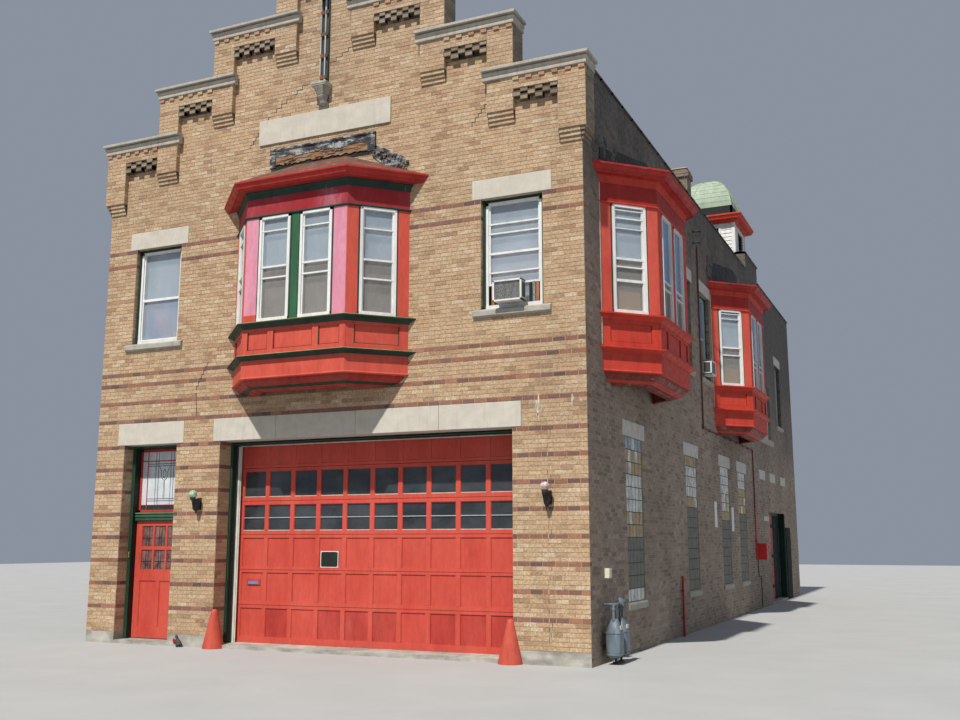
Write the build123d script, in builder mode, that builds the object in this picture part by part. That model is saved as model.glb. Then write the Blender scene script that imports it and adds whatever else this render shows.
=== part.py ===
"""A two-storey brick fire station with a stepped gable, three canted oriel bays and a cupola."""

import os

from build123d import *

os.makedirs("parts", exist_ok=True)

# Driving dimensions in mm. The brick courses set every height: three courses rise one 203.2 mm block.
course_height = 203.2 / 3
header_width = 102
base_height = 203
building_depth = 22500
front_wall_thickness = 330
pier_thickness = 530
outer_wall_thickness = 330

# Openings of the ground storey, from left to right along the front
left_pier_width = 646
entry_width = 1221
middle_pier_width = 956
garage_width = 5565
right_pier_width = 1212
facade_width = left_pier_width + entry_width + middle_pier_width + garage_width + right_pier_width
ground_floor_top = 60

# Courses, counted up from the top of the concrete base
lintel_bottom_course = 49
lintel_top_course = 55
side_lintel_top_course = 53
glass_block_sill_course = 9
sill_rise_courses = 3
window_sill_course = 77
front_head_course = 104
front_lintel_top_course = 109
side_head_course = 106
side_lintel_top_upper_course = 110

# Stepped gable
step_insets = [0, 1230, 2480, 3860]
panel_projection = 100
leg_width = 460
first_coping_course = 133
step_rise_courses = 14
coping_courses = 3
leg_courses = 15
inner_leg_courses = 8
table_rows = 3
table_overlap = 6
coping_front_lip = 100
coping_end_lip = 75

# Roof and floors
parapet_top = 9500
parapet_tile_height = 90
parapet_tile_lip = 40
roof_top = 8900
roof_thickness = 220
upper_floor_top = 4750
upper_floor_thickness = 300
raised_parapet_top = 10000
raised_parapet_start = 14500
raised_parapet_length = 1900

# Canted bays
bay_front_half = 1000
bay_depth = 760
bay_wall = 130
bay_foot = 4270
bay_fascia_bottom = 4440
bay_lower_moulding = 4790
bay_sill_bottom = 5300
bay_sill_top = 5400
bay_head = 7220
bay_frieze_top = 7560
bay_cornice_soffit = 7690
bay_cornice_top = 7830
bay_moulding_lip = 100
bay_cornice_lip = 250
front_bay_roof_rise = 560
side_bay_roof_rise = 320
side_bay_distances = [2570, 11120]

# Windows
window_width = 1070
side_window_width = 1000
window_setback = 110
front_window_centre = 3590
bay_window_width = 620
bay_mullion_width = 200
glass_block_width = 1020
glass_block_distances = [2460, 6730, 10200, 12400]
side_window_distances = [6730, 8620, 19550]
blind_lintel_distances = [15650, 17500, 19600]
landing_window_distance = 16500
landing_window_width = 2400
landing_sill_course = 68
landing_head_course = 92
rear_window_centre = 2400

# Doors
garage_setback = 310
garage_jamb_width = 50
garage_stop_width = 117
garage_stop_setback = 470
garage_stop_thickness = 30
garage_head_height = 70
garage_leaf_setback = 550
garage_leaf_thickness = 45
garage_row_lines = [700, 1300, 1905, 2490, 3070]
garage_columns = 10
garage_stile = 82
garage_rail = 104
entry_setback = 235
entry_frame_width = 50
entry_leaf_setback = 380
entry_sash_setback = 405
entry_sash_width = 45
entry_leaf_height = 2100
leaf_thickness = 45
door_gap = 6
floor_gap = 12
hinge_radius = 10
hinge_height = 100
hinge_clearance = 0.3
hinge_end_distance = 250
side_door_distance = 16650
side_door_opening_width = 2950
side_door_height = 2590
side_leaf_width = 1150
side_frame_width = 80
side_frame_depth = 60

# Roof items
chimney_distance = 7600
chimney_width = 600
chimney_length = 520
chimney_top = 10300
cupola_distance = 15600
cupola_size = 1740
cupola_side_offset = 450
cupola_wall_top = 11220
cupola_cornice_height = 250
cupola_cornice_lip = 240
cupola_base_height = 320
dome_rise = 1150
dome_inset = 50
pole_radius = 55
pole_top = 14600
bracket_top = 9800
bracket_height = 450

step_panel_faces = [facade_width / 2 + panel_projection - inset for inset in step_insets]
left = -facade_width / 2
right = facade_width / 2
front = -building_depth / 2
back = building_depth / 2
door_left = left + left_pier_width
door_right = door_left + entry_width
garage_left = door_right + middle_pier_width
garage_right = garage_left + garage_width
wall_inside_front = front + front_wall_thickness
pier_inside = front + pier_thickness
inside_left = left + outer_wall_thickness
inside_right = right - outer_wall_thickness
inside_back = back - outer_wall_thickness
bottom_align = (Align.CENTER, Align.MIN)

# Wall faces as level planes: x runs along the wall and minus y points out of it
front_face = Plane(origin=(0, front, 0), x_dir=(1, 0, 0), z_dir=(0, 0, 1))
right_face = Plane(origin=(right, front, 0), x_dir=(0, 1, 0), z_dir=(0, 0, 1))
rear_face = Plane(origin=(0, back, 0), x_dir=(-1, 0, 0), z_dir=(0, 0, 1))
bay_places = {"front_bay": front_face}
for bay, distance in zip(("side_bay_front", "side_bay_rear"), side_bay_distances):
    bay_places[bay] = Plane(origin=(right, front + distance, 0), x_dir=(0, 1, 0), z_dir=(0, 0, 1))


def course(count):
    """The height of the bed on which a course lies."""
    return base_height + count * course_height


def span(x, y, z, mode=Mode.ADD):
    """A block between pairs of limits."""
    with Locations(((x[0] + x[1]) / 2, (y[0] + y[1]) / 2, (z[0] + z[1]) / 2)):
        Box(abs(x[1] - x[0]), abs(y[1] - y[0]), abs(z[1] - z[0]), mode=mode)


def upright(face, along, out, z, turn=0):
    """An upright plane that looks out of a wall face, turned about the vertical."""
    foot = face.location * Location((along, -out, z), (0, 0, turn))
    return Plane(foot * Location((0, 0, 0), (90, 0, 0)))


def cut_opening(face, along, width, low, high, depth):
    """An opening cut inwards through a wall."""
    with BuildSketch(upright(face, along, 0, low)) as outline:
        Rectangle(width, high - low, align=bottom_align)
    extrude(outline.sketch, amount=-depth, mode=Mode.SUBTRACT)


def slab_on_wall(face, along, width, low, high, out, inwards):
    """A stone that stands out of a wall face and reaches into the wall."""
    with BuildSketch(upright(face, along, out, low)) as outline:
        Rectangle(width, high - low, align=bottom_align)
    extrude(outline.sketch, amount=-(out + inwards))


def double_hung(width, height):
    """A double-hung window with its outside face on XY: box frame, two sashes and their panes."""
    frame_bar = 55
    sash_bar = 45
    depth = 90
    sash_width = width - 2 * frame_bar
    sash_height = height / 2 - frame_bar + sash_bar / 2
    pane_size = (sash_width - 2 * sash_bar, sash_height - 2 * sash_bar)
    with BuildPart() as window:
        with BuildSketch():
            Rectangle(width, height, align=bottom_align)
            with Locations((0, frame_bar)):
                Rectangle(sash_width, height - 2 * frame_bar, align=bottom_align, mode=Mode.SUBTRACT)
        extrude(amount=-depth)
        for low, back_step in ((frame_bar, 50), (height / 2 - sash_bar / 2, 25)):
            with BuildSketch(Plane.XY.offset(-back_step)):
                with Locations((0, low)):
                    Rectangle(sash_width, sash_height, align=bottom_align)
                with Locations((0, low + sash_bar)):
                    Rectangle(*pane_size, align=bottom_align, mode=Mode.SUBTRACT)
            extrude(amount=-30)
            with BuildSketch(Plane.XY.offset(-back_step - 10)):
                with Locations((0, low + sash_bar)):
                    Rectangle(*pane_size, align=bottom_align)
            extrude(amount=-8)
    return window.part


def bay_outline(grow):
    """The plan of a canted bay, grown outwards on its three free sides."""
    wall_half = bay_front_half + bay_depth + grow * 2 ** 0.5
    front_half = bay_front_half + grow * (2 ** 0.5 - 1)
    out = bay_depth + grow
    with BuildLine() as edge:
        Polyline((-wall_half, 0), (-front_half, -out), (front_half, -out), (wall_half, 0), close=True)
    make_face(edge.edges())


def bay_layer(place, grow, low, high, mode=Mode.ADD):
    """A level layer of a bay between two heights."""
    with BuildSketch(place.offset(low)) as layer:
        bay_outline(grow)
    extrude(layer.sketch, amount=high - low, mode=mode)


def bay_window_places(place):
    """The upright planes of a bay's four windows, left cant to right cant."""
    beside = bay_window_width / 2 + bay_mullion_width / 2
    cant_along = bay_front_half + bay_depth / 2
    cant_out = bay_depth / 2
    return [
        upright(place, -cant_along, cant_out, bay_sill_top, -45),
        upright(place, -beside, bay_depth, bay_sill_top),
        upright(place, beside, bay_depth, bay_sill_top),
        upright(place, cant_along, cant_out, bay_sill_top, 45),
    ]


# Floors
with BuildPart() as floor_slab:
    span((inside_left, inside_right), (pier_inside, inside_back), (0, ground_floor_top))
    span((door_left, door_right), (front, pier_inside), (0, ground_floor_top))
    span((garage_left, garage_right), (front, pier_inside), (0, ground_floor_top))
    side_door_start = front + side_door_distance
    side_door_end = side_door_start + side_door_opening_width
    span((inside_right, right), (side_door_start, side_door_end), (0, ground_floor_top))
floor_slab.part.label = "floor_slab"
export_step(floor_slab.part, "parts/floor_slab.step")

with BuildPart() as concrete_base:
    base_levels = (0, base_height)
    span((left, door_left), (front, pier_inside), base_levels)
    span((door_right, garage_left), (front, pier_inside), base_levels)
    span((garage_right, right), (front, pier_inside), base_levels)
    span((inside_right, right), (pier_inside, side_door_start), base_levels)
    span((inside_right, right), (side_door_end, back), base_levels)
    span((inside_left, inside_right), (inside_back, back), base_levels)
    span((left, inside_left), (pier_inside, back), base_levels)
concrete_base.part.label = "concrete_base"
export_step(concrete_base.part, "parts/concrete_base.step")

with BuildPart() as upper_floor:
    span((inside_left, inside_right), (wall_inside_front, inside_back),
         (upper_floor_top - upper_floor_thickness, upper_floor_top))
upper_floor.part.label = "upper_floor"
export_step(upper_floor.part, "parts/upper_floor.step")

with BuildPart() as roof_deck:
    span((inside_left, inside_right), (wall_inside_front, inside_back), (roof_top - roof_thickness, roof_top))
roof_deck.part.label = "roof_deck"
export_step(roof_deck.part, "parts/roof_deck.step")

# Front wall: three thick piers, then the wall above, which thins at the upper floor
pier_levels = (base_height, course(lintel_bottom_course))
with BuildPart() as front_pier_left:
    span((left, door_left), (front, pier_inside), pier_levels)
front_pier_left.part.label = "front_pier_left"
export_step(front_pier_left.part, "parts/front_pier_left.step")

with BuildPart() as front_pier_middle:
    span((door_right, garage_left), (front, pier_inside), pier_levels)
front_pier_middle.part.label = "front_pier_middle"
export_step(front_pier_middle.part, "parts/front_pier_middle.step")

with BuildPart() as front_pier_right:
    span((garage_right, right), (front, pier_inside), pier_levels)
front_pier_right.part.label = "front_pier_right"
export_step(front_pier_right.part, "parts/front_pier_right.step")

lintel_bearing = 150
ledge_level = upper_floor_top - upper_floor_thickness
lintel_levels = (course(lintel_bottom_course), course(lintel_top_course))
bay_room_half = bay_front_half + bay_depth - bay_wall - 150
step_tops = [course(first_coping_course + step * step_rise_courses) for step in range(len(step_panel_faces))]
with BuildPart() as front_wall_upper:
    with BuildSketch(Plane.XZ.offset(-front)):
        with BuildLine():
            corners = [(left, course(lintel_bottom_course))]
            for face, top in zip(step_panel_faces, step_tops):
                edge = face - panel_projection
                corners += [(-edge, corners[-1][1]), (-edge, top)]
            corners += [(-x, z) for x, z in reversed(corners)]
            Polyline(*corners[1:-1], close=True)
        make_face()
    extrude(amount=-front_wall_thickness)
    span((left, right), (wall_inside_front, pier_inside), (course(lintel_bottom_course), ledge_level))
    for start, end in ((door_left, door_right), (garage_left, garage_right)):
        span((start - lintel_bearing, end + lintel_bearing), (front, pier_inside), lintel_levels,
             mode=Mode.SUBTRACT)
    for side in (-1, 1):
        cut_opening(front_face, side * front_window_centre, window_width, course(window_sill_course),
                    course(front_head_course), front_wall_thickness)
    cut_opening(front_face, 0, 2 * bay_room_half, upper_floor_top, course(front_head_course),
                front_wall_thickness)
front_wall_upper.part.label = "front_wall_upper"
export_step(front_wall_upper.part, "parts/front_wall_upper.step")


def corbels(x, wall, low, reach, courses):
    """Brick courses under a leg, each standing further out than the one below."""
    for step in range(courses):
        out = reach * (step + 1) / (courses + 1)
        span(x, (wall - out, wall), (low + step * course_height, low + (step + 1) * course_height))


def chequered_table(start, end, top):
    """Rows of header bricks that stand out of the wall by turns, like a chequerboard."""
    headers = int(abs(end - start) / (2 * header_width))
    pitch = (end - start) / headers
    centres = []
    for row in range(table_rows):
        shift = pitch / 4 if row % 2 else pitch * 3 / 4
        height = top - (row + 0.5) * course_height
        centres += [(start + pitch * index + shift, front - panel_projection / 2, height)
                    for index in range(headers)]
    with Locations(*centres):
        Box(abs(pitch) / 2 + table_overlap, panel_projection, course_height)


def gable_side(step, side):
    """The raised brickwork of one gable step on one side: two legs, the band between and its table."""
    outer = step_panel_faces[step]
    inner = step_panel_faces[step + 1]
    coping_bottom = step_tops[step]
    leg_foot = coping_bottom - leg_courses * course_height if step == 0 else step_tops[step - 1] + coping_rise
    panel = (front - panel_projection, front)

    def mirrored(low, high):
        return (side * low, side * high)

    span(mirrored(outer - leg_width, outer), panel, (leg_foot, coping_bottom))
    wrap_foot = step_tops[step - 1] if step else leg_foot
    span(mirrored(outer - panel_projection, outer), (front, wall_inside_front), (wrap_foot, coping_bottom))
    if step == 0:
        low = leg_foot - table_rows * course_height
        corbels(mirrored(outer - leg_width, outer - panel_projection), front, low, panel_projection, table_rows)
    inner_foot = coping_bottom - inner_leg_courses * course_height
    span(mirrored(inner - leg_width, inner), panel, (inner_foot, coping_bottom + coping_rise))
    corbels(mirrored(inner - leg_width, inner), front, inner_foot - table_rows * course_height, panel_projection,
            table_rows)
    table_top = coping_bottom - table_rows * course_height
    span(mirrored(inner, outer - leg_width), panel, (table_top, coping_bottom))
    chequered_table(side * inner, side * (outer - leg_width), table_top)


coping_rise = coping_courses * course_height
with BuildPart() as gable_panels:
    for step in range(len(step_panel_faces) - 1):
        for side in (-1, 1):
            gable_side(step, side)
    centre_face = step_panel_faces[-1]
    centre_bottom = step_tops[-1]
    centre_panel = (front - panel_projection, front)
    centre_table_top = centre_bottom - table_rows * course_height
    for side in (-1, 1):
        span((side * (centre_face - leg_width), side * centre_face), centre_panel,
             (step_tops[-2] + coping_rise, centre_bottom))
        span((side * (centre_face - panel_projection), side * centre_face), (front, wall_inside_front),
             (step_tops[-2], centre_bottom))
    centre_half = centre_face - leg_width
    span((-centre_half, centre_half), centre_panel, (centre_table_top, centre_bottom))
    chequered_table(-centre_half, centre_half, centre_table_top)
gable_panels.part.label = "gable_panels"
export_step(gable_panels.part, "parts/gable_panels.step")

coping_front = front - panel_projection - coping_front_lip
coping_chamfer = 45
with BuildPart() as gable_coping:
    for step, (face, low) in enumerate(zip(step_panel_faces, step_tops)):
        outer_end = face + coping_end_lip
        levels = (low, low + coping_rise)
        if step == len(step_panel_faces) - 1:
            span((-outer_end, outer_end), (coping_front, wall_inside_front), levels)
            continue
        inner_face = step_panel_faces[step + 1]
        inner_end = inner_face - leg_width - coping_end_lip
        for side in (-1, 1):
            span((side * inner_face, side * outer_end), (coping_front, wall_inside_front), levels)
            span((side * inner_end, side * inner_face), (coping_front, front - panel_projection), levels)
    chamfer(gable_coping.edges().group_by(Axis.Y)[0].filter_by(Axis.X), coping_chamfer)
gable_coping.part.label = "gable_coping"
export_step(gable_coping.part, "parts/gable_coping.step")

# Side, rear and party walls
side_split = course(side_lintel_top_course)
wall_top = parapet_top - parapet_tile_height
raised_start = front + raised_parapet_start
raised_end = raised_start + raised_parapet_length
with BuildPart() as right_wall_front:
    span((inside_right, right), (pier_inside, side_door_start), (base_height, side_split))
    for distance in glass_block_distances:
        cut_opening(right_face, distance, glass_block_width, course(glass_block_sill_course),
                    course(lintel_bottom_course), outer_wall_thickness)
right_wall_front.part.label = "right_wall_front"
export_step(right_wall_front.part, "parts/right_wall_front.step")

with BuildPart() as right_wall_rear:
    span((inside_right, right), (side_door_end, back), (base_height, side_split))
right_wall_rear.part.label = "right_wall_rear"
export_step(right_wall_rear.part, "parts/right_wall_rear.step")

with BuildPart() as right_wall_upper:
    span((inside_right, right), (pier_inside, back), (side_split, ledge_level))
    span((inside_right, right), (wall_inside_front, back), (ledge_level, wall_top))
    span((inside_right, right), (side_door_start, side_door_end), (ground_floor_top + side_door_height, side_split))
    span((inside_right, right), (raised_start, raised_end), (wall_top, raised_parapet_top - parapet_tile_height))
    for distance in side_window_distances:
        cut_opening(right_face, distance, side_window_width, course(window_sill_course), course(side_head_course),
                    outer_wall_thickness)
    cut_opening(right_face, landing_window_distance, landing_window_width, course(landing_sill_course),
                course(landing_head_course), outer_wall_thickness)
    for distance in side_bay_distances:
        cut_opening(right_face, distance, 2 * bay_room_half, upper_floor_top, course(side_head_course),
                    outer_wall_thickness)
right_wall_upper.part.label = "right_wall_upper"
export_step(right_wall_upper.part, "parts/right_wall_upper.step")

with BuildPart() as party_wall:
    span((left, inside_left), (pier_inside, back), (base_height, ledge_level))
    span((left, inside_left), (wall_inside_front, back), (ledge_level, wall_top))
party_wall.part.label = "party_wall"
export_step(party_wall.part, "parts/party_wall.step")

with BuildPart() as rear_wall:
    span((inside_left, inside_right), (inside_back, back), (base_height, wall_top))
    for side in (-1, 1):
        cut_opening(rear_face, side * rear_window_centre, side_window_width, course(window_sill_course),
                    course(side_head_course), outer_wall_thickness)
        cut_opening(rear_face, side * rear_window_centre, glass_block_width, course(glass_block_sill_course),
                    course(lintel_bottom_course), outer_wall_thickness)
rear_wall.part.label = "rear_wall"
export_step(rear_wall.part, "parts/rear_wall.step")

chimney_x = (right - chimney_width, right)
chimney_y = (front + chimney_distance, front + chimney_distance + chimney_length)
tile_x = (inside_right - parapet_tile_lip, right + parapet_tile_lip)
party_tile_x = (left - parapet_tile_lip, inside_left + parapet_tile_lip)
tile_levels = (wall_top, parapet_top)
tile_joint = 4
with BuildPart() as parapet_coping:
    span(tile_x, (wall_inside_front, chimney_y[0]), tile_levels)
    span(tile_x, (chimney_y[1], raised_start), tile_levels)
    span(tile_x, (raised_start - parapet_tile_lip, raised_end + parapet_tile_lip),
         (raised_parapet_top - parapet_tile_height, raised_parapet_top))
    span(tile_x, (raised_end, back + parapet_tile_lip), tile_levels)
    span((party_tile_x[1] + tile_joint, tile_x[0] - tile_joint),
         (inside_back - parapet_tile_lip, back + parapet_tile_lip), tile_levels)
    span(party_tile_x, (wall_inside_front, back + parapet_tile_lip), tile_levels)
    top_edges = parapet_coping.edges().filter_by(Axis.Y).group_by(Axis.Z)
    chamfer(top_edges[-1], parapet_tile_height / 3)
parapet_coping.part.label = "parapet_coping"
export_step(parapet_coping.part, "parts/parapet_coping.step")

# Stones set in the walls
with BuildPart() as door_lintels:
    stone_count = 4
    stone_joint = 3
    span((door_left - lintel_bearing, door_right + lintel_bearing), (front, pier_inside), lintel_levels)
    lintel_start = garage_left - lintel_bearing
    stone_length = (garage_width + 2 * lintel_bearing) / stone_count
    for index in range(stone_count):
        start = lintel_start + index * stone_length
        joint = stone_joint if index < stone_count - 1 else 0
        span((start, start + stone_length - joint), (front, pier_inside), lintel_levels)
door_lintels.part.label = "door_lintels"
export_step(door_lintels.part, "parts/door_lintels.step")

window_lintel_bearing = 150
stone_proud = 12
with BuildPart() as window_lintels:
    lintel_length = window_width + 2 * window_lintel_bearing
    for side in (-1, 1):
        slab_on_wall(front_face, side * front_window_centre, lintel_length, course(front_head_course),
                     course(front_lintel_top_course), stone_proud, 0)
    for distance in side_window_distances:
        slab_on_wall(right_face, distance, side_window_width + 2 * window_lintel_bearing, course(side_head_course),
                     course(side_lintel_top_upper_course), stone_proud, 0)
    for distance in glass_block_distances:
        slab_on_wall(right_face, distance, glass_block_width + 2 * window_lintel_bearing,
                     course(lintel_bottom_course), course(side_lintel_top_course), stone_proud, 0)
    for distance in blind_lintel_distances:
        slab_on_wall(right_face, distance, glass_block_width, course(lintel_bottom_course),
                     course(side_lintel_top_course), stone_proud, 0)
    for side in (-1, 1):
        slab_on_wall(rear_face, side * rear_window_centre, side_window_width + 2 * window_lintel_bearing,
                     course(side_head_course), course(side_lintel_top_upper_course), stone_proud, 0)
        slab_on_wall(rear_face, side * rear_window_centre, glass_block_width + 2 * window_lintel_bearing,
                     course(lintel_bottom_course), course(side_lintel_top_course), stone_proud, 0)
window_lintels.part.label = "window_lintels"
export_step(window_lintels.part, "parts/window_lintels.step")

sill_end = 130
side_sill_end = 70
sill_proud = 60
with BuildPart() as window_sills:
    sill_low = course(window_sill_course - sill_rise_courses)
    sill_high = course(window_sill_course)
    block_sill_low = course(glass_block_sill_course - sill_rise_courses)
    block_sill_high = course(glass_block_sill_course)
    for side in (-1, 1):
        slab_on_wall(front_face, side * front_window_centre, window_width + 2 * sill_end, sill_low, sill_high,
                     sill_proud, 0)
        slab_on_wall(rear_face, side * rear_window_centre, side_window_width + 2 * sill_end, sill_low, sill_high,
                     sill_proud, 0)
        slab_on_wall(rear_face, side * rear_window_centre, glass_block_width + 2 * sill_end, block_sill_low,
                     block_sill_high, sill_proud, 0)
    for distance in side_window_distances:
        slab_on_wall(right_face, distance, side_window_width + 2 * side_sill_end, sill_low, sill_high, sill_proud, 0)
    slab_on_wall(right_face, landing_window_distance, landing_window_width + 2 * sill_end,
                 course(landing_sill_course - sill_rise_courses), course(landing_sill_course), sill_proud, 0)
    for distance in glass_block_distances:
        slab_on_wall(right_face, distance, glass_block_width + 2 * sill_end, block_sill_low, block_sill_high,
                     sill_proud, 0)
window_sills.part.label = "window_sills"
export_step(window_sills.part, "parts/window_sills.step")

name_stone_half = 1367
name_stone_courses = (128, 135)
name_stone_proud = 35
with BuildPart() as name_stone:
    slab_on_wall(front_face, 0, 2 * name_stone_half, course(name_stone_courses[0]), course(name_stone_courses[1]),
                 name_stone_proud, 0)
name_stone.part.label = "name_stone"
export_step(name_stone.part, "parts/name_stone.step")

# Canted bays: hollow body on a coved foot, moulded cornice and hipped roof
panel_recess = 22
panel_levels = (4925, 5255)
front_panels = [(-700, 400), (0, 760), (700, 400)]
cant_panel_width = 760


def bay_body(place):
    """The apron, posts and frieze of a bay, with its coved foot, mouldings, panels and window openings."""
    cove_steps = [(bay_fascia_bottom, 0), (bay_fascia_bottom - 60, -30), (bay_fascia_bottom - 120, -120),
                  (bay_foot, -300)]
    for (high, wide), (low, narrow) in zip(cove_steps, cove_steps[1:]):
        with BuildSketch(place.offset(high)) as upper:
            bay_outline(wide)
        with BuildSketch(place.offset(low)) as lower:
            bay_outline(narrow)
        loft([upper.sketch.face(), lower.sketch.face()], ruled=True)
    bay_layer(place, 0, bay_fascia_bottom, bay_frieze_top)
    bay_layer(place, bay_moulding_lip / 2, bay_lower_moulding - 30, bay_lower_moulding)
    bay_layer(place, bay_moulding_lip, bay_lower_moulding, bay_lower_moulding + 45)
    bay_layer(place, bay_moulding_lip / 2, bay_sill_bottom, bay_sill_bottom + 50)
    bay_layer(place, bay_moulding_lip, bay_sill_bottom + 50, bay_sill_top)
    bay_layer(place, -bay_wall, upper_floor_top, bay_frieze_top - 60, mode=Mode.SUBTRACT)
    for along, width in front_panels:
        with BuildSketch(upright(place, along, bay_depth, panel_levels[0])) as panel:
            Rectangle(width, panel_levels[1] - panel_levels[0], align=bottom_align)
        extrude(panel.sketch, amount=-panel_recess, mode=Mode.SUBTRACT)
    for side in (-1, 1):
        cant = upright(place, side * (bay_front_half + bay_depth / 2), bay_depth / 2, panel_levels[0], side * 45)
        with BuildSketch(cant) as panel:
            Rectangle(cant_panel_width, panel_levels[1] - panel_levels[0], align=bottom_align)
        extrude(panel.sketch, amount=-panel_recess, mode=Mode.SUBTRACT)
    for window in bay_window_places(place):
        with BuildSketch(window) as opening:
            Rectangle(bay_window_width, bay_head - bay_sill_top, align=bottom_align)
        extrude(opening.sketch, amount=-bay_wall, mode=Mode.SUBTRACT)


def bay_cornice(place):
    """The bed mould, soffit and two-step crown of a bay."""
    crown_middle = (bay_cornice_soffit + bay_cornice_top) / 2
    bay_layer(place, 40, bay_frieze_top, bay_cornice_soffit)
    bay_layer(place, bay_cornice_lip - 50, bay_cornice_soffit, crown_middle)
    bay_layer(place, bay_cornice_lip, crown_middle, bay_cornice_top)


def bay_roof(place, rise):
    """A low hipped roof that leans on the wall."""
    ridge_half = bay_front_half / 2
    ridge_out = 40
    with BuildSketch(place.offset(bay_cornice_top)) as eaves:
        bay_outline(bay_cornice_lip - 20)
    with BuildSketch(place.offset(bay_cornice_top + rise)) as ridge:
        with BuildLine():
            Polyline((-ridge_half - ridge_out, 0), (-ridge_half, -ridge_out), (ridge_half, -ridge_out),
                     (ridge_half + ridge_out, 0), close=True)
        make_face()
    loft([eaves.sketch.face(), ridge.sketch.face()], ruled=True)


with BuildPart() as front_bay:
    bay_body(bay_places["front_bay"])
front_bay.part.label = "front_bay"
export_step(front_bay.part, "parts/front_bay.step")

with BuildPart() as side_bay_front:
    bay_body(bay_places["side_bay_front"])
side_bay_front.part.label = "side_bay_front"
export_step(side_bay_front.part, "parts/side_bay_front.step")

with BuildPart() as side_bay_rear:
    bay_body(bay_places["side_bay_rear"])
side_bay_rear.part.label = "side_bay_rear"
export_step(side_bay_rear.part, "parts/side_bay_rear.step")

with BuildPart() as front_bay_cornice:
    bay_cornice(bay_places["front_bay"])
front_bay_cornice.part.label = "front_bay_cornice"
export_step(front_bay_cornice.part, "parts/front_bay_cornice.step")

with BuildPart() as side_bay_cornices:
    bay_cornice(bay_places["side_bay_front"])
    bay_cornice(bay_places["side_bay_rear"])
side_bay_cornices.part.label = "side_bay_cornices"
export_step(side_bay_cornices.part, "parts/side_bay_cornices.step")

with BuildPart() as front_bay_roof:
    bay_roof(bay_places["front_bay"], front_bay_roof_rise)
front_bay_roof.part.label = "front_bay_roof"
export_step(front_bay_roof.part, "parts/front_bay_roof.step")

with BuildPart() as side_bay_roofs:
    bay_roof(bay_places["side_bay_front"], side_bay_roof_rise)
    bay_roof(bay_places["side_bay_rear"], side_bay_roof_rise)
side_bay_roofs.part.label = "side_bay_roofs"
export_step(side_bay_roofs.part, "parts/side_bay_roofs.step")

bay_window_setback = 20
bay_window = double_hung(bay_window_width, bay_head - bay_sill_top)
with BuildPart() as bay_windows:
    all_places = [window for place in bay_places.values() for window in bay_window_places(place)]
    with Locations(*[window.offset(-bay_window_setback).location for window in all_places]):
        add(bay_window)
bay_windows.part.label = "bay_windows"
export_step(bay_windows.part, "parts/bay_windows.step")

sill_z = course(window_sill_course)
landing_sill_z = course(landing_sill_course)
landing_light_width = landing_window_width / 2
front_window = double_hung(window_width, course(front_head_course) - sill_z)
side_window = double_hung(side_window_width, course(side_head_course) - sill_z)
landing_light = double_hung(landing_light_width, course(landing_head_course) - landing_sill_z)
with BuildPart() as upper_windows:
    with Locations(*[upright(front_face, side * front_window_centre, -window_setback, sill_z).location
                     for side in (-1, 1)]):
        add(front_window)
    side_places = [upright(right_face, distance, -window_setback, sill_z) for distance in side_window_distances]
    side_places += [upright(rear_face, side * rear_window_centre, -window_setback, sill_z) for side in (-1, 1)]
    with Locations(*[place.location for place in side_places]):
        add(side_window)
    with Locations(*[upright(right_face, landing_window_distance + side * landing_light_width / 2, -window_setback,
                             landing_sill_z).location for side in (-1, 1)]):
        add(landing_light)
upper_windows.part.label = "upper_windows"
export_step(upper_windows.part, "parts/upper_windows.step")

block_setback = 60
block_thickness = 95
with BuildPart() as glass_block_windows:
    block_height = course(lintel_bottom_course) - course(glass_block_sill_course)
    faces = [(right_face, distance) for distance in glass_block_distances]
    faces += [(rear_face, side * rear_window_centre) for side in (-1, 1)]
    for face, along in faces:
        with BuildSketch(upright(face, along, -block_setback, course(glass_block_sill_course))):
            Rectangle(glass_block_width, block_height, align=bottom_align)
        extrude(amount=-block_thickness)
glass_block_windows.part.label = "glass_block_windows"
export_step(glass_block_windows.part, "parts/glass_block_windows.step")

# Garage doorway: deep jamb boards with a stop, and a closed sectional door behind them
garage_top = course(lintel_bottom_course)
leaf_face = front + garage_leaf_setback
jamb_y = (front + garage_setback, leaf_face)
stop_y = (front + garage_stop_setback, front + garage_stop_setback + garage_stop_thickness)
with BuildPart() as garage_frame:
    for y, width, head in ((jamb_y, garage_jamb_width, garage_jamb_width),
                           (stop_y, garage_stop_width, garage_head_height)):
        for edge, inwards in ((garage_left, width), (garage_right, -width)):
            span((edge, edge + inwards), y, (ground_floor_top, garage_top))
        span((garage_left + width, garage_right - width), y, (garage_top - head, garage_top))
garage_frame.part.label = "garage_frame"
export_step(garage_frame.part, "parts/garage_frame.step")

leaf_lap = 20
leaf_left = garage_left + leaf_lap
leaf_right = garage_right - leaf_lap
with BuildPart() as garage_door:
    row_gap = 6
    rows = [ground_floor_top] + garage_row_lines + [garage_top - leaf_lap]
    visible_left = garage_left + garage_stop_width
    column = (garage_width - 2 * garage_stop_width) / garage_columns
    span((leaf_left, leaf_right), (leaf_face, leaf_face + garage_leaf_thickness), (rows[0], rows[-1]))
    for line in garage_row_lines:
        span((leaf_left, leaf_right), (leaf_face, leaf_face + 10), (line - row_gap, line), mode=Mode.SUBTRACT)
    panel_depth = 14
    for low, high in zip(rows, rows[1:]):
        middle_z = (low + high) / 2
        with Locations(*[(visible_left + (index + 0.5) * column, leaf_face + panel_depth / 2, middle_z)
                         for index in range(garage_columns)]):
            Box(column - garage_stile, panel_depth, high - low - garage_rail, mode=Mode.SUBTRACT)
garage_door.part.label = "garage_door"
export_step(garage_door.part, "parts/garage_door.step")


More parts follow.
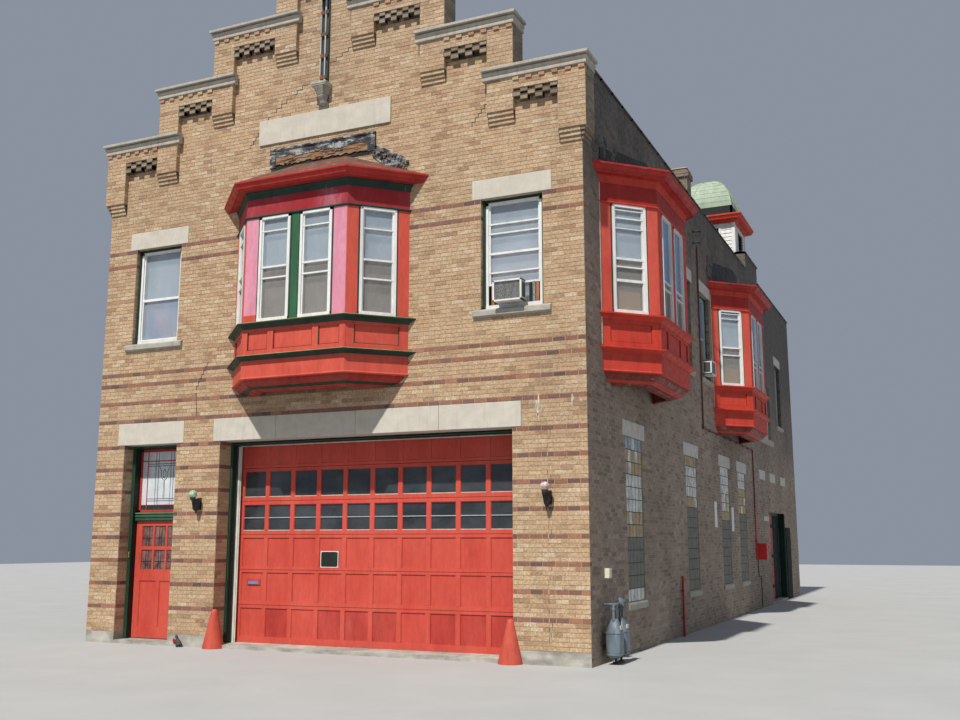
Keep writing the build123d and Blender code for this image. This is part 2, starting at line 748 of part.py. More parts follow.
def hinge_barrels(x, y, low, high, radius, height, mode=Mode.ADD):
    """Three hinge barrels up the edge of a leaf, on the axis that it turns about."""
    levels = (low + hinge_end_distance, (low + high) / 2, high - hinge_end_distance)
    with Locations(*[(x, y, level) for level in levels]):
        Cylinder(radius, height, mode=mode)


# Entry doorway: frame with transom bar and leaded light, and the hinged leaf
entry_clear_left = door_left + entry_frame_width
entry_clear_right = door_right - entry_frame_width
leaf_bottom = ground_floor_top + floor_gap
leaf_top = ground_floor_top + entry_leaf_height
transom_bar_height = 150
transom_bottom = leaf_top + door_gap
frame_front = front + entry_setback
leaf_front = front + entry_leaf_setback
leaf_back = leaf_front + leaf_thickness
sash_y = (front + entry_sash_setback, leaf_back)
sash_left = entry_clear_left + entry_sash_width
sash_right = entry_clear_right - entry_sash_width
sash_low = transom_bottom + transom_bar_height
sash_high = garage_top - entry_frame_width
with BuildPart() as entry_frame:
    frame_y = (frame_front, leaf_back)
    span((door_left, entry_clear_left), frame_y, (ground_floor_top, garage_top))
    span((entry_clear_right, door_right), frame_y, (ground_floor_top, garage_top))
    span((entry_clear_left, entry_clear_right), frame_y, (sash_high, garage_top))
    span((entry_clear_left, entry_clear_right), (leaf_front - 60, leaf_back), (transom_bottom, sash_low))
    span((entry_clear_left, sash_left), sash_y, (sash_low, sash_high))
    span((sash_right, entry_clear_right), sash_y, (sash_low, sash_high))
    span((sash_left, sash_right), sash_y, (sash_low, sash_low + entry_sash_width))
    span((sash_left, sash_right), sash_y, (sash_high - entry_sash_width, sash_high))
    span((sash_left, sash_right), (sash_y[1] - 15, sash_y[1] - 5),
         (sash_low + entry_sash_width, sash_high - entry_sash_width))
    hinge_barrels(entry_clear_left + door_gap, leaf_back, leaf_bottom, leaf_top, hinge_radius, hinge_height)
entry_frame.part.label = "entry_frame"
export_step(entry_frame.part, "parts/entry_frame.step")

leaf_x = (entry_clear_left + door_gap, entry_clear_right - door_gap)
leaf_y = (leaf_front, leaf_back)
stile = 130
light_gap = 34
light_rows = [(1279, 1636), (1690, 2069)]
light_columns = 3
lower_panel_levels = (274, 1083)
lower_panel_columns = 2
with BuildPart() as entry_door:
    span(leaf_x, leaf_y, (leaf_bottom, leaf_top))
    field = leaf_x[1] - leaf_x[0] - 2 * stile
    light_width = (field - (light_columns - 1) * light_gap) / light_columns
    panel_width = (field - (lower_panel_columns - 1) * light_gap * 2) / lower_panel_columns
    for face_y, inwards in ((leaf_front, 12), (leaf_back, -12)):
        for low, high in light_rows:
            for index in range(light_columns):
                start = leaf_x[0] + stile + index * (light_width + light_gap)
                span((start, start + light_width), (face_y, face_y + inwards), (low, high), mode=Mode.SUBTRACT)
        for index in range(lower_panel_columns):
            start = leaf_x[0] + stile + index * (panel_width + 2 * light_gap)
            span((start, start + panel_width), (face_y, face_y + inwards), lower_panel_levels, mode=Mode.SUBTRACT)
    knob_x = leaf_x[1] - 65
    knob_z = ground_floor_top + 960
    with BuildSketch(Plane.XZ.offset(-leaf_front)):
        with Locations((knob_x, knob_z)):
            Circle(14)
    extrude(amount=45)
    with Locations((knob_x, leaf_front - 55, knob_z)):
        Sphere(28)
    hinge_barrels(leaf_x[0], leaf_back, leaf_bottom, leaf_top, hinge_radius + hinge_clearance, hinge_height + 2,
                  mode=Mode.SUBTRACT)
entry_door.part.label = "entry_door"
export_step(entry_door.part, "parts/entry_door.step")

# Side doorway: frame, fixed boarded panels, and one hinged leaf
side_setback = 200
side_top = ground_floor_top + side_door_height
side_frame_x = (right - side_setback - side_frame_depth, right - side_setback)
side_clear_start = side_door_start + side_frame_width
side_leaf_start = side_clear_start + door_gap
side_leaf_end = side_leaf_start + side_leaf_width
side_leaf_back = right - side_setback - 10 - leaf_thickness
side_leaf_top = side_top - side_frame_width - door_gap
with BuildPart() as side_door_frame:
    span(side_frame_x, (side_door_start, side_clear_start), (ground_floor_top, side_top))
    span(side_frame_x, (side_clear_start, side_door_end), (side_top - side_frame_width, side_top))
    post_start = side_leaf_end + door_gap
    span(side_frame_x, (post_start, post_start + side_frame_width), (ground_floor_top, side_top - side_frame_width))
    span((side_frame_x[0] + 10, side_frame_x[1] - 10), (post_start + side_frame_width, side_door_end),
         (ground_floor_top, side_top - side_frame_width))
    hinge_barrels(side_leaf_back, side_leaf_start, leaf_bottom, side_leaf_top, hinge_radius, hinge_height)
side_door_frame.part.label = "side_door_frame"
export_step(side_door_frame.part, "parts/side_door_frame.step")

with BuildPart() as side_door:
    span((side_leaf_back, side_leaf_back + leaf_thickness), (side_leaf_start, side_leaf_end),
         (leaf_bottom, side_leaf_top))
    hinge_barrels(side_leaf_back, side_leaf_start, leaf_bottom, side_leaf_top, hinge_radius + hinge_clearance,
                  hinge_height + 2, mode=Mode.SUBTRACT)
side_door.part.label = "side_door"
export_step(side_door.part, "parts/side_door.step")

# Fittings on the walls
lamp_places = [(-2360, 2300), (4180, 2300)]
lamp_radius = 72
lamp_reach = 190
lamp_holder_height = 220
lamp_holder_reach = 70
lamp_cup_height = 50
with BuildPart() as wall_lamps:
    for along, low in lamp_places:
        holder_top = low + lamp_holder_height
        with Locations((along, front - lamp_holder_reach, low + lamp_holder_height / 2)):
            Cone(22, 60, lamp_holder_height)
        with Locations((along, front - lamp_reach, holder_top)):
            Cylinder(48, lamp_cup_height)
        with Locations((along, front - lamp_reach, holder_top + lamp_radius)):
            Sphere(lamp_radius)
        span((along - 30, along + 30), (front - lamp_reach, front - lamp_holder_reach),
             (holder_top - lamp_cup_height, holder_top))
        span((along - 50, along + 50), (front - lamp_holder_reach, front), (low + 40, holder_top + 20))
wall_lamps.part.label = "wall_lamps"
export_step(wall_lamps.part, "parts/wall_lamps.step")

guard_height = 650
guard_foot = 215
guard_tip = 60
with BuildPart() as jamb_guards:
    for corner in (garage_left, garage_right):
        with Locations((corner, front, (guard_height - guard_tip) / 2)):
            Cone(guard_foot, guard_tip, guard_height - guard_tip)
        with Locations((corner, front, guard_height - guard_tip)):
            Sphere(guard_tip)
    for limits in ((door_right, garage_left), (garage_right, right)):
        span(limits, (front, wall_inside_front), (0, guard_height), mode=Mode.SUBTRACT)
    span((garage_left, garage_right), (front, wall_inside_front), (0, ground_floor_top), mode=Mode.SUBTRACT)
jamb_guards.part.label = "jamb_guards"
export_step(jamb_guards.part, "parts/jamb_guards.step")

conditioner_width = 620
conditioner_height = 420
conditioner_reach = 330
conditioner_places = [(front_face, front_window_centre - 100), (right_face, side_window_distances[1])]
with BuildPart() as air_conditioners:
    for face, along in conditioner_places:
        with BuildSketch(upright(face, along, conditioner_reach, course(window_sill_course))):
            Rectangle(conditioner_width, conditioner_height, align=bottom_align)
        extrude(amount=-(conditioner_reach + window_setback - 5))
air_conditioners.part.label = "air_conditioners"
export_step(air_conditioners.part, "parts/air_conditioners.step")

bracket_half = 240
bracket_foot_half = 130
bracket_reach = 330
pole_reach = 270
channel_depth = 45
strap_half = 30
channel_top = step_tops[-1] + coping_rise + 350
with BuildPart() as flagpole:
    with BuildSketch(Plane.XY.offset(bracket_top)) as bracket_head:
        with Locations((0, front - bracket_reach / 2)):
            Rectangle(2 * bracket_half, bracket_reach)
    with BuildSketch(Plane.XY.offset(bracket_top - bracket_height)) as bracket_foot:
        with Locations((0, front - bracket_reach / 6)):
            Rectangle(2 * bracket_foot_half, bracket_reach / 3)
    loft(ruled=True)
    with Locations((0, front - pole_reach, (bracket_top + pole_top) / 2)):
        Cylinder(pole_radius, pole_top - bracket_top)
    with Locations((0, front - pole_reach, pole_top)):
        Sphere(90)
    pole_y = front - pole_reach
    for side in (-1, 1):
        span((side * (pole_radius + 2), side * (pole_radius + 2 + channel_depth)),
             (pole_y - channel_depth, pole_y + channel_depth), (bracket_top, channel_top))
    strap_z = step_tops[-1] + coping_rise / 2
    strap_reach = pole_radius + channel_depth
    span((-strap_reach, strap_reach), (pole_y, coping_front), (strap_z - strap_half, strap_z + strap_half))
flagpole.part.label = "flagpole"
export_step(flagpole.part, "parts/flagpole.step")

# Roof items
with BuildPart() as chimney:
    span((chimney_x[0], inside_right), chimney_y, (roof_top, wall_top))
    span(chimney_x, chimney_y, (wall_top, chimney_top))
    cap = 40
    span((chimney_x[0] - cap, chimney_x[1] + cap), (chimney_y[0] - cap, chimney_y[1] + cap),
         (chimney_top - 3 * course_height, chimney_top - course_height))
chimney.part.label = "chimney"
export_step(chimney.part, "parts/chimney.step")

cupola_right = right - cupola_side_offset
cupola_x = (cupola_right - cupola_size, cupola_right)
cupola_y = (front + cupola_distance, front + cupola_distance + cupola_size)
cupola_middle = ((cupola_x[0] + cupola_x[1]) / 2, (cupola_y[0] + cupola_y[1]) / 2)
cornice_top = cupola_wall_top + cupola_cornice_height
dome_foot = cornice_top + cupola_base_height


def square_block(half, low, high):
    """A square layer centred on the cupola."""
    with Locations((cupola_middle[0], cupola_middle[1], (low + high) / 2)):
        Box(2 * half, 2 * half, high - low)


with BuildPart() as cupola:
    square_block(cupola_size / 2, roof_top, cupola_wall_top)
    square_block(cupola_size / 2 + cupola_cornice_lip * 0.4, cupola_wall_top, cupola_wall_top + 80)
    square_block(cupola_size / 2 + cupola_cornice_lip, cupola_wall_top + 80, cornice_top)
    square_block(cupola_size / 2 - dome_inset, cornice_top, dome_foot)
cupola.part.label = "cupola"
export_step(cupola.part, "parts/cupola.step")

dome_half = cupola_size / 2 - dome_inset + 15
with BuildPart() as cupola_dome:
    for place in (Plane.XZ.offset(-cupola_middle[1]), Plane.YZ.offset(cupola_middle[0])):
        centre = cupola_middle[0] if place.z_dir.Y else cupola_middle[1]
        with BuildSketch(place) as arch:
            with BuildLine():
                Line((centre - dome_half, dome_foot), (centre + dome_half, dome_foot))
                EllipticalCenterArc((centre, dome_foot), dome_half, dome_rise, start_angle=0, arc_size=180)
            make_face()
        extrude(amount=dome_half, both=True, mode=Mode.INTERSECT if cupola_dome.part else Mode.ADD)
cupola_dome.part.label = "cupola_dome"
export_step(cupola_dome.part, "parts/cupola_dome.step")

# Gas meters beside the front corner, and the fire alarm box beside the side door
meter_distance = 700
meter_spacing = 270
meter_width = 240
meter_depth = 210
meter_low = 100
meter_shoulder = 480
meter_dome_rise = 170
riser_out = 190
riser_radius = 22
header_level = 860
strap_size = 40
with BuildPart() as gas_meters:
    for offset in (-meter_spacing / 2, meter_spacing / 2):
        meter_y = front + meter_distance + offset
        with BuildSketch(Plane.XY.offset(meter_low)):
            with Locations((right + riser_out, meter_y)):
                RectangleRounded(meter_depth, meter_width, 60)
        extrude(amount=meter_shoulder - meter_low)
        with BuildSketch(Plane.XY.offset(meter_shoulder)) as shoulder:
            with Locations((right + riser_out, meter_y)):
                RectangleRounded(meter_depth, meter_width, 60)
        with BuildSketch(Plane.XY.offset(meter_shoulder + meter_dome_rise)) as crown:
            with Locations((right + riser_out, meter_y)):
                RectangleRounded(meter_depth * 0.5, meter_width * 0.5, 30)
        loft([shoulder.sketch.face(), crown.sketch.face()], ruled=True)
        for pipe_y in (meter_y - meter_width / 5, meter_y + meter_width / 5):
            with Locations((right + riser_out, pipe_y, (meter_shoulder + header_level) / 2)):
                Cylinder(riser_radius, header_level - meter_shoulder)
        span((right, right + riser_out - meter_depth / 2), (meter_y - strap_size / 2, meter_y + strap_size / 2),
             (meter_shoulder - strap_size, meter_shoulder))
    with Locations((right + riser_out, front + meter_distance, header_level)):
        Box(2 * riser_radius, meter_spacing + meter_width / 2, 2 * riser_radius)
    with Locations((right + riser_out, front + meter_distance, meter_low / 2)):
        Box(meter_depth / 2, meter_spacing + meter_width / 2, meter_low)
gas_meters.part.label = "gas_meters"
export_step(gas_meters.part, "parts/gas_meters.step")

alarm_box_distance = 14350
alarm_box_half = 170
alarm_box_depth = 280
alarm_box_levels = (1300, 1740)
conduit_radius = 25
conduit_level = 4240
conduit_start = 7960
conduit_riser_length = 1200
conduit_offset = 250
link_size = 60
with BuildPart() as alarm_box:
    box_y = front + alarm_box_distance
    conduit_x = right + conduit_radius
    conduit_y = box_y - conduit_offset
    span((right, right + alarm_box_depth), (box_y - alarm_box_half, box_y + alarm_box_half), alarm_box_levels)
    with Locations((conduit_x, conduit_y, (alarm_box_levels[0] + conduit_level) / 2)):
        Cylinder(conduit_radius, conduit_level - alarm_box_levels[0])
    conduit_length = conduit_y - (front + conduit_start)
    with Locations((conduit_x, conduit_y - conduit_length / 2, conduit_level)):
        Cylinder(conduit_radius, conduit_length, rotation=(90, 0, 0))
    with Locations((conduit_x, front + conduit_start, conduit_level + conduit_riser_length / 2)):
        Cylinder(conduit_radius, conduit_riser_length)
    span((right, right + link_size), (conduit_y, box_y - alarm_box_half),
         (alarm_box_levels[0], alarm_box_levels[0] + link_size))
alarm_box.part.label = "alarm_box"
export_step(alarm_box.part, "parts/alarm_box.step")
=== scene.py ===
import math
import random

import bmesh
import bpy
from mathutils import Matrix, Vector


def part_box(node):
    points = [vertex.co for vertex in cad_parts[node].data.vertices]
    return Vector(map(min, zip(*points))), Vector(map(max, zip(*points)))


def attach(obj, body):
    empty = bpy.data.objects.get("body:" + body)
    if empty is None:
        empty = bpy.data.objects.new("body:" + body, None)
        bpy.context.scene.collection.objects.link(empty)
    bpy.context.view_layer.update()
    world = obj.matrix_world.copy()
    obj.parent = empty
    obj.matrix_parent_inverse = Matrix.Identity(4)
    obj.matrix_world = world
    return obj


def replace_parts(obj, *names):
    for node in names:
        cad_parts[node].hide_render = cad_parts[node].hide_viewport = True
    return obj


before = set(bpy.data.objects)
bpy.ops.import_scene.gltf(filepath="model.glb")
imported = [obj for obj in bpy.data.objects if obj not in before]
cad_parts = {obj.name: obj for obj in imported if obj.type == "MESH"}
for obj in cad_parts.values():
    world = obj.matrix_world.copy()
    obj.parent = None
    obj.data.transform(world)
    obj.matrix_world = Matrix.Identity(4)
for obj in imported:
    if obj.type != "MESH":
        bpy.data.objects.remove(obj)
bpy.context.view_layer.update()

# The view, the light and the ground. The camera stands across the street off the right corner of the
# building, at eye height, and looks up and to the left. The sun is high and square to the front, as in the
# photograph, so the side wall stays in soft shade. The ground is one plain pale sheet.
eye = Vector((9.644, -25.845, 1.787))
camera = bpy.data.objects.new("camera", bpy.data.cameras.new("camera"))
camera.data.sensor_width = 36
camera.data.lens = 38.62
camera.data.clip_end = 300
turn, tilt = (Matrix.Rotation(math.radians(angle), 4, axis) for angle, axis in ((24.34, "Z"), (99.99, "X")))
camera.matrix_world = Matrix.Translation(eye) @ turn @ tilt
bpy.context.scene.collection.objects.link(camera)
bpy.context.scene.camera = camera


def add_light(name, kind, energy, colour, direction, **settings):
    light = bpy.data.lights.new(name, kind)
    light.energy = energy
    light.color = colour
    for key, value in settings.items():
        setattr(light, key, value)
    lamp = bpy.data.objects.new(name, light)
    lamp.rotation_euler = Vector(direction).to_track_quat("-Z", "Y").to_euler()
    bpy.context.scene.collection.objects.link(lamp)
    return lamp


add_light("sun", "SUN", 4.9, (1, 0.955, 0.88), (0.01, 1, -1.382), angle=math.radians(1.4))
add_light("sky_fill", "SUN", 0.15, (0.8, 0.88, 1), (-1, 0.35, -0.5), angle=math.radians(60))
world = bpy.data.worlds.new("studio")
world.use_nodes = True
world.node_tree.nodes["Background"].inputs["Color"].default_value = (0.7, 0.8, 0.96, 1)
world.node_tree.nodes["Background"].inputs["Strength"].default_value = 0.36
bpy.context.scene.world = world
bpy.context.scene.view_settings.view_transform = "Standard"


def node(tree, kind, inputs=None, **settings):
    made = tree.nodes.new("ShaderNode" + kind)
    for key, value in settings.items():
        setattr(made, key, value)
    for key, value in (inputs or {}).items():
        if isinstance(value, bpy.types.NodeSocket):
            tree.links.new(value, made.inputs[key])
        else:
            made.inputs[key].default_value = value
    return made


def new_material(name):
    material = bpy.data.materials.new(name)
    material.use_nodes = True
    tree = material.node_tree
    return material, tree, tree.nodes["Principled BSDF"]


def grain(tree, scale, detail=4, stretch=(1, 1, 1), roughness=0.6, distortion=0):
    """Noise in metres, stretched along the grain."""
    place = node(tree, "TexCoord")
    mapped = node(tree, "Mapping", {"Vector": place.outputs["Object"], "Scale": stretch})
    return node(tree, "TexNoise", {"Vector": mapped.outputs[0], "Scale": scale, "Detail": detail,
                                   "Roughness": roughness, "Distortion": distortion}).outputs["Fac"]


def ramp(tree, factor, *stops):
    """Colours or greys set at places along a factor."""
    made = node(tree, "ValToRGB", {"Fac": factor})
    elements = made.color_ramp.elements
    while len(elements) < len(stops):
        elements.new(0.5)
    for element, (position, colour) in zip(elements, stops):
        element.position = position
        element.color = (*colour, 1) if isinstance(colour, tuple) else (colour, colour, colour, 1)
    return made.outputs[0]


def relief(tree, shader, height, strength, distance=0.004):
    bump = node(tree, "Bump", {"Height": height, "Strength": strength, "Distance": distance})
    tree.links.new(bump.outputs[0], shader.inputs["Normal"])


def plain_finish(name, noise, stops, rough, bump=None, specular=None, alpha=None):
    """Colours over one noise. rough is a value, or a noise and its stops, and bump a noise and its strength."""
    material, tree, shader = new_material(name)
    tree.links.new(ramp(tree, grain(tree, *noise), *stops), shader.inputs["Base Color"])
    if isinstance(rough, tuple):
        tree.links.new(ramp(tree, grain(tree, *rough[0]), *rough[1:]), shader.inputs["Roughness"])
    else:
        shader.inputs["Roughness"].default_value = rough
    if bump:
        relief(tree, shader, grain(tree, *bump[0]), *bump[1:])
    for socket, value in (("Specular IOR Level", specular), ("Alpha", alpha)):
        if value is not None:
            shader.inputs[socket].default_value = value
    return material


def mesh_object(name, vertices, faces, materials, slots=None, tones=None):
    """A piece from its corners and faces, with a tone at each corner where the material asks for one."""
    mesh = bpy.data.meshes.new(name)
    mesh.from_pydata(vertices, [], faces)
    for material in materials:
        mesh.materials.append(material)
    if slots is not None:
        mesh.polygons.foreach_set("material_index", slots)
    if tones is not None:
        mesh.attributes.new("tone", "FLOAT", "POINT").data.foreach_set("value", tones)
    piece = bpy.data.objects.new(name, mesh)
    bpy.context.scene.collection.objects.link(piece)
    return piece


floor_grey = plain_finish("pale_floor", (0.8, 3), ((0.3, (0.355, 0.362, 0.362)), (0.7, (0.385, 0.392, 0.392))), 0.85)
reach = 60
floor_corners = [(-reach, -reach, 0), (reach, -reach, 0), (reach, reach, 0), (-reach, reach, 0)]
mesh_object("pale_floor", floor_corners, [(0, 1, 2, 3)], [floor_grey])

# Mortar cores. The walls are 13 inch brick, and 21 inch at the front piers, laid in lime mortar: buff on the
# street front, and grey with coal soot on the side, rear and party walls. The solid walls carry the mortar's
# look, and every brick below stands 4 mm proud of them, as raked joints leave it.
front, back, left, right = -11.25, 11.25, -4.8, 4.8
base_top, course_height = 0.203, 0.2032 / 3


def bed(course):
    return base_top + course * course_height

def mix(tree, factor, first, second, blend="MIX"):
    """One colour over another."""
    made = tree.nodes.new("ShaderNodeMix")
    made.data_type = "RGBA"
    made.blend_type = blend
    for index, value in ((0, factor), (6, first), (7, second)):
        if isinstance(value, bpy.types.NodeSocket):
            tree.links.new(value, made.inputs[index])
        else:
            made.inputs[index].default_value = (*value, 1) if isinstance(value, tuple) else value
    return made.outputs[2]
def tarred(tree, colour):
    """Coal soot and brushed tar that thicken towards the parapet and the rear."""
    place = node(tree, "TexCoord")
    along = node(tree, "SeparateXYZ", {"Vector": place.outputs["Object"]})
    rear_part = node(tree, "MapRange", {"Value": along.outputs["Y"], "From Min": 2.9, "From Max": 3.4, "To Max": 2.3})
    height = node(tree, "Math", {0: along.outputs["Z"], 1: rear_part.outputs[0]}).outputs[0]
    patchy = grain(tree, 1.1, 7, (1, 1, 0.7), 0.7)
    level = node(tree, "Math", {0: patchy, 1: 5.2, 2: height}, operation="MULTIPLY_ADD")
    cover = node(tree, "MapRange", {"Value": level.outputs[0], "From Min": 8.4, "From Max": 11.7, "To Max": 0.86})
    black = ramp(tree, grain(tree, 8, 6, (1, 1, 1.5)), (0.35, (0.036, 0.034, 0.032)), (0.7, (0.115, 0.108, 0.1)))
    return mix(tree, cover.outputs[0], colour, black)


def mortar(name, dark, light, tar=False):
    material, tree, shader = new_material(name)
    base = ramp(tree, grain(tree, 9, 6), (0.3, dark), (0.7, light))
    soot = ramp(tree, grain(tree, 0.7, 5), (0.35, 0.72), (0.65, 1))
    colour = mix(tree, 1, base, soot, "MULTIPLY")
    tree.links.new(tarred(tree, colour) if tar else colour, shader.inputs["Base Color"])
    shader.inputs["Roughness"].default_value = 0.95
    relief(tree, shader, grain(tree, 160, 3), 0.5)
    return material


def paint_node(name, material):
    """Gives a solid of the frame its look."""
    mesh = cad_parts[name].data
    mesh.materials.clear()
    mesh.materials.append(material)


buff_mortar = mortar("buff_mortar", (0.37, 0.285, 0.185), (0.49, 0.39, 0.275))
grey_mortar = mortar("grey_mortar", (0.3, 0.26, 0.215), (0.44, 0.39, 0.33), tar=True)
for name in ("front_pier_left", "front_pier_middle", "front_pier_right", "front_wall_upper"):
    paint_node(name, buff_mortar)
for name in ("right_wall_front", "right_wall_rear", "right_wall_upper", "party_wall", "rear_wall"):
    paint_node(name, grey_mortar)

# Facing brick. Standard 8 inch bricks in running bond, three courses to 8 inches: buff on the front with
# single courses of dark red ones every sixth course of the ground storey and in pairs above, and brown
# common brick on the other walls. Each is laid as a block of its own, and differs a little in fire and depth.
brick_length, joint, proud, bite = 0.2032, 0.009, 0.004, 0.012
bands = {6, 12, 18, 24, 30, 36, 42, 48, 55, 60, 65, 68, 99, 103}
laying = random.Random(7)


def sooted_top(tree, colour):
    """Soot that greys the gable towards its top."""
    place = node(tree, "TexCoord")
    height = node(tree, "SeparateXYZ", {"Vector": place.outputs["Object"]}).outputs["Z"]
    cover = node(tree, "MapRange", {"Value": height, "From Min": 9.5, "From Max": 13, "To Max": 0.26})
    return mix(tree, cover.outputs[0], colour, (0.17, 0.16, 0.15))


def fired_brick(name, *colours, soot=0.75, speckle=0.25, cover=sooted_top):
    material, tree, shader = new_material(name)
    tone = node(tree, "Attribute", attribute_name="tone").outputs["Fac"]
    places = [i / (len(colours) - 1) for i in range(len(colours))]
    base = ramp(tree, tone, *zip(places, colours))
    clay = ramp(tree, grain(tree, 38, 5), (0.32, 1 - speckle), (0.68, 1 + speckle * 0.6))
    weather = ramp(tree, grain(tree, 0.55, 6, (1, 1, 0.6), 0.65), (0.3, soot), (0.62, 1))
    colour = mix(tree, 1, mix(tree, 1, base, clay, "MULTIPLY"), weather, "MULTIPLY")
    tree.links.new(cover(tree, colour), shader.inputs["Base Color"])
    tree.links.new(ramp(tree, grain(tree, 60, 2), (0.3, 0.72), (0.7, 0.92)), shader.inputs["Roughness"])
    relief(tree, shader, grain(tree, 120, 4), 0.55)
    return material


buff_brick = fired_brick(
    "buff_brick", (0.34, 0.21, 0.122), (0.45, 0.3, 0.178), (0.49, 0.34, 0.205), (0.51, 0.37, 0.232),
    (0.47, 0.305, 0.178), (0.57, 0.44, 0.3), soot=0.8, speckle=0.38)
band_brick = fired_brick(
    "band_brick", (0.115, 0.062, 0.06), (0.21, 0.095, 0.068), (0.3, 0.125, 0.075), (0.17, 0.085, 0.08),
    (0.36, 0.16, 0.1), soot=0.85)
brown_brick = fired_brick(
    "brown_brick", (0.19, 0.145, 0.109), (0.278, 0.213, 0.161), (0.331, 0.257, 0.195), (0.288, 0.215, 0.164),
    (0.374, 0.3, 0.237), soot=0.6, cover=tarred)
facings = {"front": ("y", -1), "right": ("x", 1), "rear": ("y", 1), "left": ("x", -1)}


def place_brick(bricks, facing, plane, start, end, low, high, kind=0, out=proud, depth=bite, tone=None):
    """One block, from its two ends along the wall, its beds, and how far it stands out of the wall's plane."""
    axis, way = facings[facing]
    face = plane + way * (out + laying.gauss(0, 0.0007))
    across = sorted((face, face - way * depth))
    along = (min(start, end), max(start, end))
    x, y = (along, across) if axis == "y" else (across, along)
    bricks.append((x, y, (low, high), kind, laying.random() if tone is None else tone))


def open_runs(start, end, level, blocked):
    """What is left of a course between its ends, clear of openings and stones."""
    runs = [(start, end)]
    for a, b, low, high in blocked:
        if low < level < high:
            runs = [piece for s, e in runs for piece in ((s, min(e, a)), (max(s, b), e))
                    if piece[1] - piece[0] > 0.03]
    return runs


def lay_wall(bricks, facing, plane, start, end, courses, blocked=(), band_reach=None, out=proud, depth=bite,
             band_courses=bands):
    """Running bond over a stretch of wall. Dark bands run its whole length, or only near its start."""
    for course in range(*courses):
        low = bed(course) + joint / 2
        high = bed(course + 1) - joint / 2
        for s, e in open_runs(start, end, (low + high) / 2, blocked):
            edge = math.floor(s / brick_length) * brick_length + (course % 2) * brick_length / 2
            cuts = [s]
            while edge < e:
                if edge > s + 0.06 and edge < e - 0.06:
                    cuts.append(edge)
                edge += brick_length
            cuts.append(e)
            for a, b in zip(cuts, cuts[1:]):
                banded = course in band_courses and (band_reach is None or b < start + band_reach)
                place_brick(bricks, facing, plane, a + joint / 2, b - joint / 2, low, high, int(banded), out, depth)


def brickwork(name, bricks, materials):
    """All the blocks of one stretch as a single piece."""
    vertices, faces, slots, tones = [], [], [], []
    for (x0, x1), (y0, y1), (z0, z1), kind, tone in bricks:
        n = len(vertices)
        vertices += [(x, y, z) for z in (z0, z1) for x, y in ((x0, y0), (x1, y0), (x1, y1), (x0, y1))]
        faces += [(n, n + 3, n + 2, n + 1), (n + 4, n + 5, n + 6, n + 7), (n, n + 1, n + 5, n + 4),
                  (n + 1, n + 2, n + 6, n + 5), (n + 2, n + 3, n + 7, n + 6), (n + 3, n, n + 4, n + 7)]
        slots += [kind] * 6
        tones += [tone] * 8
    piece = mesh_object(name, vertices, faces, materials, slots, tones)
    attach(piece, "building")
    return piece


def gap(middle, half, low, high):
    """A stretch between two courses that the bricks leave clear."""
    return (middle - half, middle + half, bed(low), bed(high))


pier_top, lintel_top = 49, 55
entry_opening = (-4.154, -2.933)
garage_opening = (-1.977, 3.588)
bearing = 0.15
front_windows, window_half, window_courses = (-3.59, 3.59), 0.535, (77, 104)
bay_reach, bay_heights = 1.46, (4.5, 7.95)
front_blocked = [gap(0, 1.367, 128, 135), (-bay_reach, bay_reach, *bay_heights)]
for start, end in (entry_opening, garage_opening):
    front_blocked += [(start, end, 0, bed(pier_top)), (start - bearing, end + bearing, bed(pier_top), bed(lintel_top))]
for middle in front_windows:
    front_blocked += [gap(middle, window_half, 77, 104), gap(middle, window_half + bearing, 104, 109),
                      gap(middle, window_half + 0.13, 75, 77)]
step_faces = [4.9, 3.67, 2.42, 1.04]
step_beds = [133, 147, 161, 175]
front_bricks = []
lay_wall(front_bricks, "front", front, left - proud, right + proud, (0, 118), front_blocked)
lay_wall(front_bricks, "front", front, left, right, (118, step_beds[0]), front_blocked)
for face, low, high in zip(step_faces[1:], step_beds, step_beds[1:]):
    lay_wall(front_bricks, "front", front, -face + 0.1, face - 0.1, (low, high), front_blocked)
reveals = [(*entry_opening, 0.235, (0, pier_top)), (*garage_opening, 0.31, (0, pier_top))]
reveals += [(middle - window_half, middle + window_half, 0.11, window_courses) for middle in front_windows]
for start, end, setback, courses in reveals:
    lay_wall(front_bricks, "right", start, front, front + setback, courses)
    lay_wall(front_bricks, "left", end, front, front + setback, courses)
brickwork("front_bricks", front_bricks, [buff_brick, band_brick])

block_windows, side_windows, blind_lintels = (2.46, 6.73, 10.2, 12.4), (6.73, 8.62, 19.55), (15.65, 17.5, 19.6)
side_bays, side_doorway, landing = (2.57, 11.12), (16.65, 19.6), 16.5
side_blocked = [(front + side_doorway[0], front + side_doorway[1], 0, 2.65)]
for distance in block_windows:
    middle = front + distance
    side_blocked += [gap(middle, 0.51, 9, 49), gap(middle, 0.66, 49, 53), gap(middle, 0.56, 7, 9)]
for distance in side_windows:
    middle = front + distance
    side_blocked += [gap(middle, 0.5, 77, 106), gap(middle, 0.65, 106, 110), gap(middle, 0.57, 75, 77)]
side_blocked += [gap(front + distance, 0.51, 49, 53) for distance in blind_lintels]
side_blocked += [gap(front + landing, 1.2, 68, 92), gap(front + landing, 1.33, 65, 68)]
side_blocked += [(front + d - bay_reach, front + d + bay_reach, *bay_heights) for d in side_bays]
parapet_course, raised_course, raised_stretch = 136, 143, (front + 14.5, front + 16.4)
side_bricks = []
lay_wall(side_bricks, "right", right, front, back + proud, (-3, parapet_course), side_blocked, 0.25)
lay_wall(side_bricks, "right", right, *raised_stretch, (parapet_course, raised_course))
reveals = [(distance - 0.5, distance + 0.5, 0.11, (77, 106)) for distance in side_windows]
